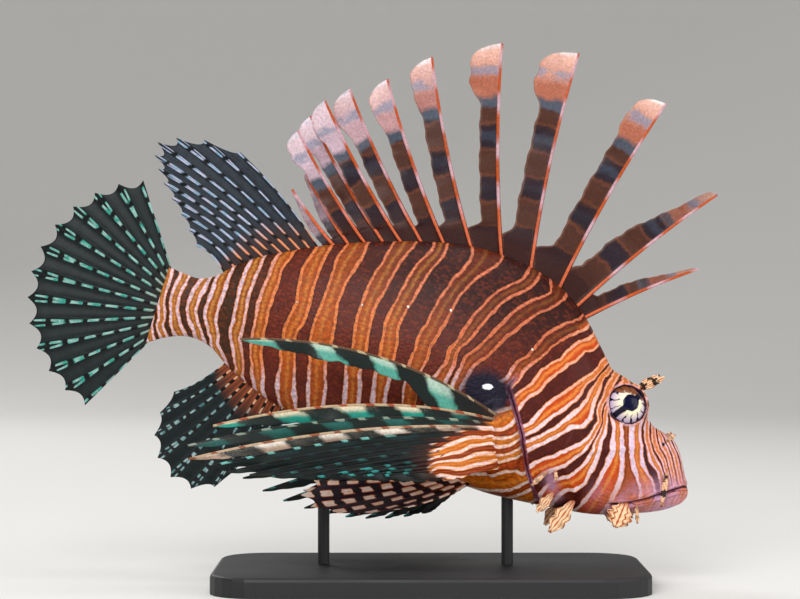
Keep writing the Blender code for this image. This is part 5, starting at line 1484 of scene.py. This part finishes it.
def pectoral_shape(side, pose_name, sizes):
    """Fourteen long rays, webbed low down and with loose skin along them above."""
    pose = PECTORAL_POSES[pose_name]
    rows, columns = 120, 16
    share = np.linspace(0.0, 1.0, rows)
    (top_x, top_z), (low_x, low_z) = PECTORAL_ROOT
    lines, lengths = [], []
    for i in range(PECTORAL_RAYS):
        place = i / (PECTORAL_RAYS - 1)
        x, z = top_x + (low_x - top_x) * place, top_z + (low_z - top_z) * place
        root = np.array([x, side * (side_y(x, z) + PECTORAL_ROOT_OUT), z])
        tip = root + pectoral_direction(place, side, pose) * pectoral_length(place)
        bow = np.array([0.0, side * 2.0, pose["arch"] * (1.0 - place) ** 2])
        lines.append(ray_lines(root, tip, bow, share))
        lengths.append(pectoral_length(place))
    steps = [unit(two - one) for one, two in zip(lines, lines[1:])]
    ways = [steps[0]] + [one + two for one, two in zip(steps, steps[1:])] + [steps[-1]]
    hang = np.clip((share - 0.28) / 0.2, 0.0, 1.0)[:, None]
    closing = np.clip((1.0 - share) / 0.3, 0.0, 1.0) ** 0.6
    below = np.array([0.0, side * 0.2, -1.0])
    breast = LineField(BREAST_LINES)
    across = np.linspace(0.0, 1.0, columns) ** 1.2
    shapes = []
    for i, (line, way) in enumerate(zip(lines, ways)):
        last = i + 1 == len(lines)
        forward = unit(np.gradient(line, axis=0))
        turned = unit(way) * (1 - hang) + below * hang
        turned = unit(turned - forward * np.sum(turned * forward, axis=1, keepdims=True))
        width = np.maximum(PECTORAL_SKIN * closing * (1.0 - 0.35 * i / len(lines)), 0.4)
        if last:
            width = np.minimum(width, 1.0 + 1.5 * share)
        ragged = 1.0 + 0.06 * np.sin(share * 47.0 + i) + 0.04 * np.sin(share * 97.0 + 3 * i)
        far = line + turned * (width * ragged)[:, None]
        if not last:
            web = (1.0 - step(share, 0.24, 0.36))[:, None]
            far = far + (lines[i + 1] - far) * web
        ray_half = 0.6 - 0.3 * share
        sway = 0.8 * np.sin(share * 13.0 + 1.3 * i) + 0.35 * np.sin(share * 31.0 + 2.1 * i)
        middle, reach, away, half = ribbon(
            line - turned * (ray_half * 0.9)[:, None], far, across, ray_half,
            (sizes.ray / MM / 2) * (1 - 0.6 * share), side * sway * step(share, 0.3, 0.6), sizes.membrane,
        )
        tones = PECTORAL_TONES[pose_name]
        near, far_side, bone, dash = tones[min(i, len(tones) - 1)]
        spread = np.broadcast_to(step(across, 0.25, 0.6)[None, :], half.shape)
        from_root = np.broadcast_to((share * lengths[i])[:, None], half.shape)
        dashed = step(from_root, *DASHES_BEGIN) if i >= PALE_RAYS else np.ones(half.shape)
        flesh = FLESHY_ROOT * (step(i, 0.5, 7.0) + 0.25 * i / PECTORAL_RAYS)
        shapes.append(thick_sheet(middle, half, {
            "along": (share * lengths[i])[:, None] + 1.1 * reach,
            "ray_number": np.full(half.shape, i),
            "ray_distance": away,
            "past_root": from_root - flesh,
            "breast": breast.at(middle[..., 0], middle[..., 2]),
            "breast_pitch": np.full(half.shape, BREAST_PITCH),
            "pale_colour": colours(near, (far_side, spread)),
            "ray_colour": np.broadcast_to(linear(bone), (*half.shape, 4)),
            "dash_colour": colours(bone, (dash, dashed)),
            "fish": middle,
        }))
    return joined(shapes)


def pelvic_ends(side):
    """Roots and tips of a pelvic fin's rays."""
    (front_x, front_z), (rear_x, rear_z) = PELVIC_ROOT
    root_out, first_out, last_out = PELVIC_OUT
    roots, tips = [], []
    for share, (x, z) in zip(np.linspace(0.0, 1.0, len(PELVIC_TIPS)), PELVIC_TIPS):
        root_z = front_z + (rear_z - front_z) * share + PELVIC_SINK
        roots.append((front_x + (rear_x - front_x) * share, side * root_out, root_z))
        tips.append((x, side * (first_out + (last_out - first_out) * share), z))
    return np.array(roots), np.array(tips)


def flap_shape(side, root, tip, out, width, lobes, curl, barred):
    """A thin leaf of skin with a frilled edge."""
    rows, columns = 44, 19
    (x, z), (tip_x, tip_z) = root, tip
    y = side_y(x, z)
    start = np.array([x, side * (y + swell(x, z) - 0.8), z])
    end = np.array([tip_x, side * (y + out), tip_z])
    share = np.linspace(0.0, 1.0, rows)
    line = ray_lines(start, end, np.array([0.0, side * 1.0, 0.0]), share)
    across = unit(np.cross(end - start, np.array([0.0, side, 0.0])))
    leaf = smooth_rows(((0.0, 0.35), (0.3, 0.8), (0.55, 1.0), (0.8, 0.75), (1.0, 0.08)), share)[:, 0]
    frill = 0.85 + 0.4 * np.abs(np.sin(share * math.pi * lobes)) * step(share, 0.15, 0.4)
    span = np.linspace(-1.0, 1.0, columns)
    middle = line[:, None] + across * (width / 2 * leaf * frill)[:, None, None] * span[None, :, None]
    ripple = curl * np.sin(share * math.pi * lobes * 2 + 1.3) * step(share, 0.1, 0.4)
    middle[..., 1] += side * ripple[:, None] * np.abs(span[None, :]) ** 1.5
    half = 0.2 + (0.55 - 0.3 * share)[:, None] * hump(span[None, :] * (width / 2 * leaf)[:, None], 0.5)
    vein = np.abs(np.sin(span[None, :] * 7.0 * leaf[:, None]))
    return thick_sheet(middle, half, {
        "share": np.broadcast_to(share[:, None], half.shape),
        "vein": vein,
        "barred": np.full(half.shape, barred),
        "fish": middle,
    })


def eye_shape(side):
    """The eyeball, with its cornea standing a little proud."""
    rows, columns = 64, 96
    polar = np.linspace(0.0, math.pi, rows)[:, None]
    turn = (np.arange(columns) / columns * 2 * math.pi)[None, :]
    out = np.cos(polar)
    radius = EYE_RADIUS * (1.0 + 0.035 * step(out, 0.55, 0.95) - 0.02 * step(out, 0.97, 1.0))
    flat = radius * np.sin(polar)
    look = unit(np.array(EYE_LOOK) * np.array([1.0, side, 1.0]))
    front = unit(np.array([1.0, 0.0, 0.0]) - look * look[0])
    up = np.cross(look, front) * -side
    ahead, rise = flat * np.cos(turn), flat * np.sin(turn)
    centre = np.array(EYE_CENTRE) * np.array([1.0, side, 1.0])
    points = centre + (radius * out)[..., None] * look + ahead[..., None] * front + rise[..., None] * up
    # The back of the eyeball, which never shows, lies beyond the iris and takes the tone of its rim
    beyond = np.where(out > 0, 0.0, EYE_RADIUS)
    iris = np.stack([ahead + beyond, rise, np.zeros(ahead.shape)], axis=-1)
    return Shape(points, grid_quads(rows, columns, True), {"iris": iris})


# The steps that build the model


def sized(context):
    return context.scene.lionfish_body, context.scene.lionfish_fins, context.scene.lionfish_stage


class LIONFISH_OT_skin(bpy.types.Operator):
    """Build the striped skin of the head, trunk and tail in one piece"""

    bl_idname = "lionfish.skin"
    bl_label = "Skin"

    def execute(self, context):
        body = sized(context)[0]
        nodes = ("head", "lower_jaw", "trunk", "tail_stem")
        piece("body_skin", skin_shape(body), nodes, skin_material(body))
        return {"FINISHED"}


class LIONFISH_OT_eyes(bpy.types.Operator):
    """Build both eyes"""

    bl_idname = "lionfish.eyes"
    bl_label = "Eyes"

    def execute(self, context):
        material = eye_material()
        for side, word in SIDES:
            piece(f"eyeball_{word}", eye_shape(side), (f"eye_{word}",), material)
        return {"FINISHED"}


class LIONFISH_OT_spines(bpy.types.Operator):
    """Build the thirteen dorsal spines with their pennants"""

    bl_idname = "lionfish.spines"
    bl_label = "Dorsal spines"

    def execute(self, context):
        shape = spiny_dorsal_shape(sized(context)[1])
        piece("dorsal_spines", shape, ("spiny_dorsal_fin",), pennant_material())
        return {"FINISHED"}


class LIONFISH_OT_soft_fins(bpy.types.Operator):
    """Build the soft dorsal, anal and tail fins"""

    bl_idname = "lionfish.soft_fins"
    bl_label = "Soft fins"

    def execute(self, context):
        fins = sized(context)[1]
        ray, membrane = fins.ray / MM, fins.membrane / MM
        upper = median_roots(*SOFT_DORSAL_ROOTS, len(SOFT_DORSAL_TIPS), 0, -EDGE_SINK)
        lower = median_roots(*ANAL_ROOTS, len(ANAL_TIPS), 1, EDGE_SINK)
        forms = {
            "soft_dorsal": ("soft_dorsal_fin", upper, flat_tips(SOFT_DORSAL_TIPS), 2.0),
            "anal": ("anal_fin", lower, flat_tips(ANAL_TIPS), -2.0),
            "tail": ("caudal_fin", *caudal_ends(), 0.0),
        }
        for name, (node, roots, tips, bow) in forms.items():
            shape = fan_shape(roots, tips, (0, 0, bow), ray, membrane)
            piece(name, shape, (node,), fin_material(*WEBBED_FINS[name]))
        return {"FINISHED"}


class LIONFISH_OT_paired_fins(bpy.types.Operator):
    """Build the pectoral and pelvic fins of both sides"""

    bl_idname = "lionfish.paired_fins"
    bl_label = "Paired fins"

    def execute(self, context):
        fins = sized(context)[1]
        ribbon = pectoral_material()
        blotched = fin_material(*WEBBED_FINS["pelvic"])
        for side, word in SIDES:
            shape = pectoral_shape(side, word, fins)
            piece(f"pectoral_{word}", shape, (f"pectoral_fin_{word}",), ribbon)
            roots, tips = pelvic_ends(side)
            shape = fan_shape(
                roots, tips, (0, side * 2.0, -1.5), fins.ray / MM, fins.membrane / MM, between_rays=26
            )
            piece(f"pelvic_{word}", shape, (f"pelvic_fin_{word}",), blotched)
        return {"FINISHED"}


class LIONFISH_OT_flaps(bpy.types.Operator):
    """Build the frilled skin flaps of the head"""

    bl_idname = "lionfish.flaps"
    bl_label = "Skin flaps"

    def execute(self, context):
        material = flap_material()
        for side, word in SIDES:
            for name, form in CIRRI.items():
                piece(f"{name}_{word}", flap_shape(side, *form), (), material)
            for name, form in FLAPS.items():
                piece(f"{name}_skin_{word}", flap_shape(side, *form), (f"{name}_{word}",), material)
        return {"FINISHED"}


class LIONFISH_OT_stand(bpy.types.Operator):
    """Paint the display stand"""

    bl_idname = "lionfish.stand"
    bl_label = "Stand"

    def execute(self, context):
        material = stand_material()
        for name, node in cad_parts.items():
            if name.startswith("stand_"):
                node.data.materials.clear()
                node.data.materials.append(material)
        return {"FINISHED"}


class LIONFISH_OT_stage(bpy.types.Operator):
    """Lay the floor, hang the lights and set the camera at the photograph's angle"""

    bl_idname = "lionfish.stage"
    bl_label = "Stage"

    def execute(self, context):
        stage = sized(context)[2]
        self.lay_floor(stage)
        self.hang_lights(stage)
        self.set_camera(context, stage)
        return {"FINISHED"}

    def lay_floor(self, stage):
        """A round sheet of paper that curves up all round, so that it shows no edge."""
        flat, bend, turns = 1.5, 1.4, 96
        profile = [(0.02, 0.0)] + [(flat * i / 12, 0.0) for i in range(1, 13)]
        profile += [
            (flat + bend * math.sin(a), bend * (1 - math.cos(a))) for a in np.linspace(0.08, math.pi / 2, 16)
        ]
        ring = np.arange(turns) / turns * 2 * math.pi
        points = np.array([[(r * math.cos(a), r * math.sin(a), z) for a in ring] for r, z in profile])
        mesh = bpy.data.meshes.new("floor")
        quads = grid_quads(len(profile), turns, True)[:, ::-1].tolist()
        mesh.from_pydata(points.reshape(-1, 3).tolist(), [], quads + [list(range(turns))])
        mesh.shade_smooth()
        mesh.materials.append(floor_material(tuple(stage.floor_colour)))
        floor = bpy.data.objects.new("floor", mesh)
        bpy.context.scene.collection.objects.link(floor)

    def hang_lights(self, stage):
        aim = Vector(LIGHTS_AIM)
        lights = (
            ("key", (-0.35, -1.3, 0.95), 0.9, stage.key_power),
            ("fill", (1.3, -0.7, 0.5), 0.9, 0.45 * stage.key_power),
            ("rim", (-0.9, 1.2, 1.0), 0.8, 0.55 * stage.key_power),
            ("top", (0.1, 0.0, 1.5), 1.0, 0.45 * stage.key_power),
        )
        for name, place, size, power in lights:
            data = bpy.data.lights.new(name, "AREA")
            data.size = size
            data.energy = power
            light = bpy.data.objects.new(name, data)
            light.location = place
            light.rotation_euler = (aim - Vector(place)).to_track_quat("-Z", "Y").to_euler()
            bpy.context.scene.collection.objects.link(light)
        world = bpy.data.worlds.new("studio")
        world.use_nodes = True
        world.node_tree.nodes["Background"].inputs[0].default_value = linear("#f1f0ee")
        world.node_tree.nodes["Background"].inputs[1].default_value = 0.4
        bpy.context.scene.world = world
        bpy.context.scene.view_settings.view_transform = "Standard"

    def set_camera(self, context, stage):
        data = bpy.data.cameras.new("camera")
        data.sensor_fit = "HORIZONTAL"
        data.sensor_width = SENSOR_WIDTH
        data.lens = SENSOR_WIDTH * stage.camera_distance / stage.view_width
        camera = bpy.data.objects.new("camera", data)
        camera.location = Vector(VIEW_MIDDLE) - Vector((0.0, stage.camera_distance, 0.0))
        camera.rotation_euler = (math.pi / 2, 0.0, 0.0)
        context.scene.collection.objects.link(camera)
        context.scene.camera = camera


class LIONFISH_PT_panel(bpy.types.Panel):
    """Lists the sizes of the model and the steps that build it"""

    bl_idname = "LIONFISH_PT_panel"
    bl_label = "Red lionfish"
    bl_space_type = "VIEW_3D"
    bl_region_type = "UI"
    bl_category = "Lionfish"

    def draw(self, context):
        for group in sized(context):
            for name in group.__annotations__:
                self.layout.prop(group, name)
        for operator in OPERATORS:
            self.layout.operator(operator.bl_idname)


GROUPS = {"lionfish_body": FishSizes, "lionfish_fins": FinSizes, "lionfish_stage": StageSizes}
OPERATORS = (
    LIONFISH_OT_skin,
    LIONFISH_OT_eyes,
    LIONFISH_OT_spines,
    LIONFISH_OT_soft_fins,
    LIONFISH_OT_paired_fins,
    LIONFISH_OT_flaps,
    LIONFISH_OT_stand,
    LIONFISH_OT_stage,
)


def register():
    for kind in (*GROUPS.values(), *OPERATORS, LIONFISH_PT_panel):
        bpy.utils.register_class(kind)
    for name, group in GROUPS.items():
        setattr(bpy.types.Scene, name, bpy.props.PointerProperty(type=group))


def unregister():
    for name in GROUPS:
        delattr(bpy.types.Scene, name)
    for kind in (LIONFISH_PT_panel, *reversed(OPERATORS), *GROUPS.values()):
        bpy.utils.unregister_class(kind)


def main():
    register()
    for operator in OPERATORS:
        group, name = operator.bl_idname.split(".")
        if getattr(getattr(bpy.ops, group), name)() != {"FINISHED"}:
            raise RuntimeError(f"{operator.bl_label} was not built")


if __name__ == "__main__":
    main()
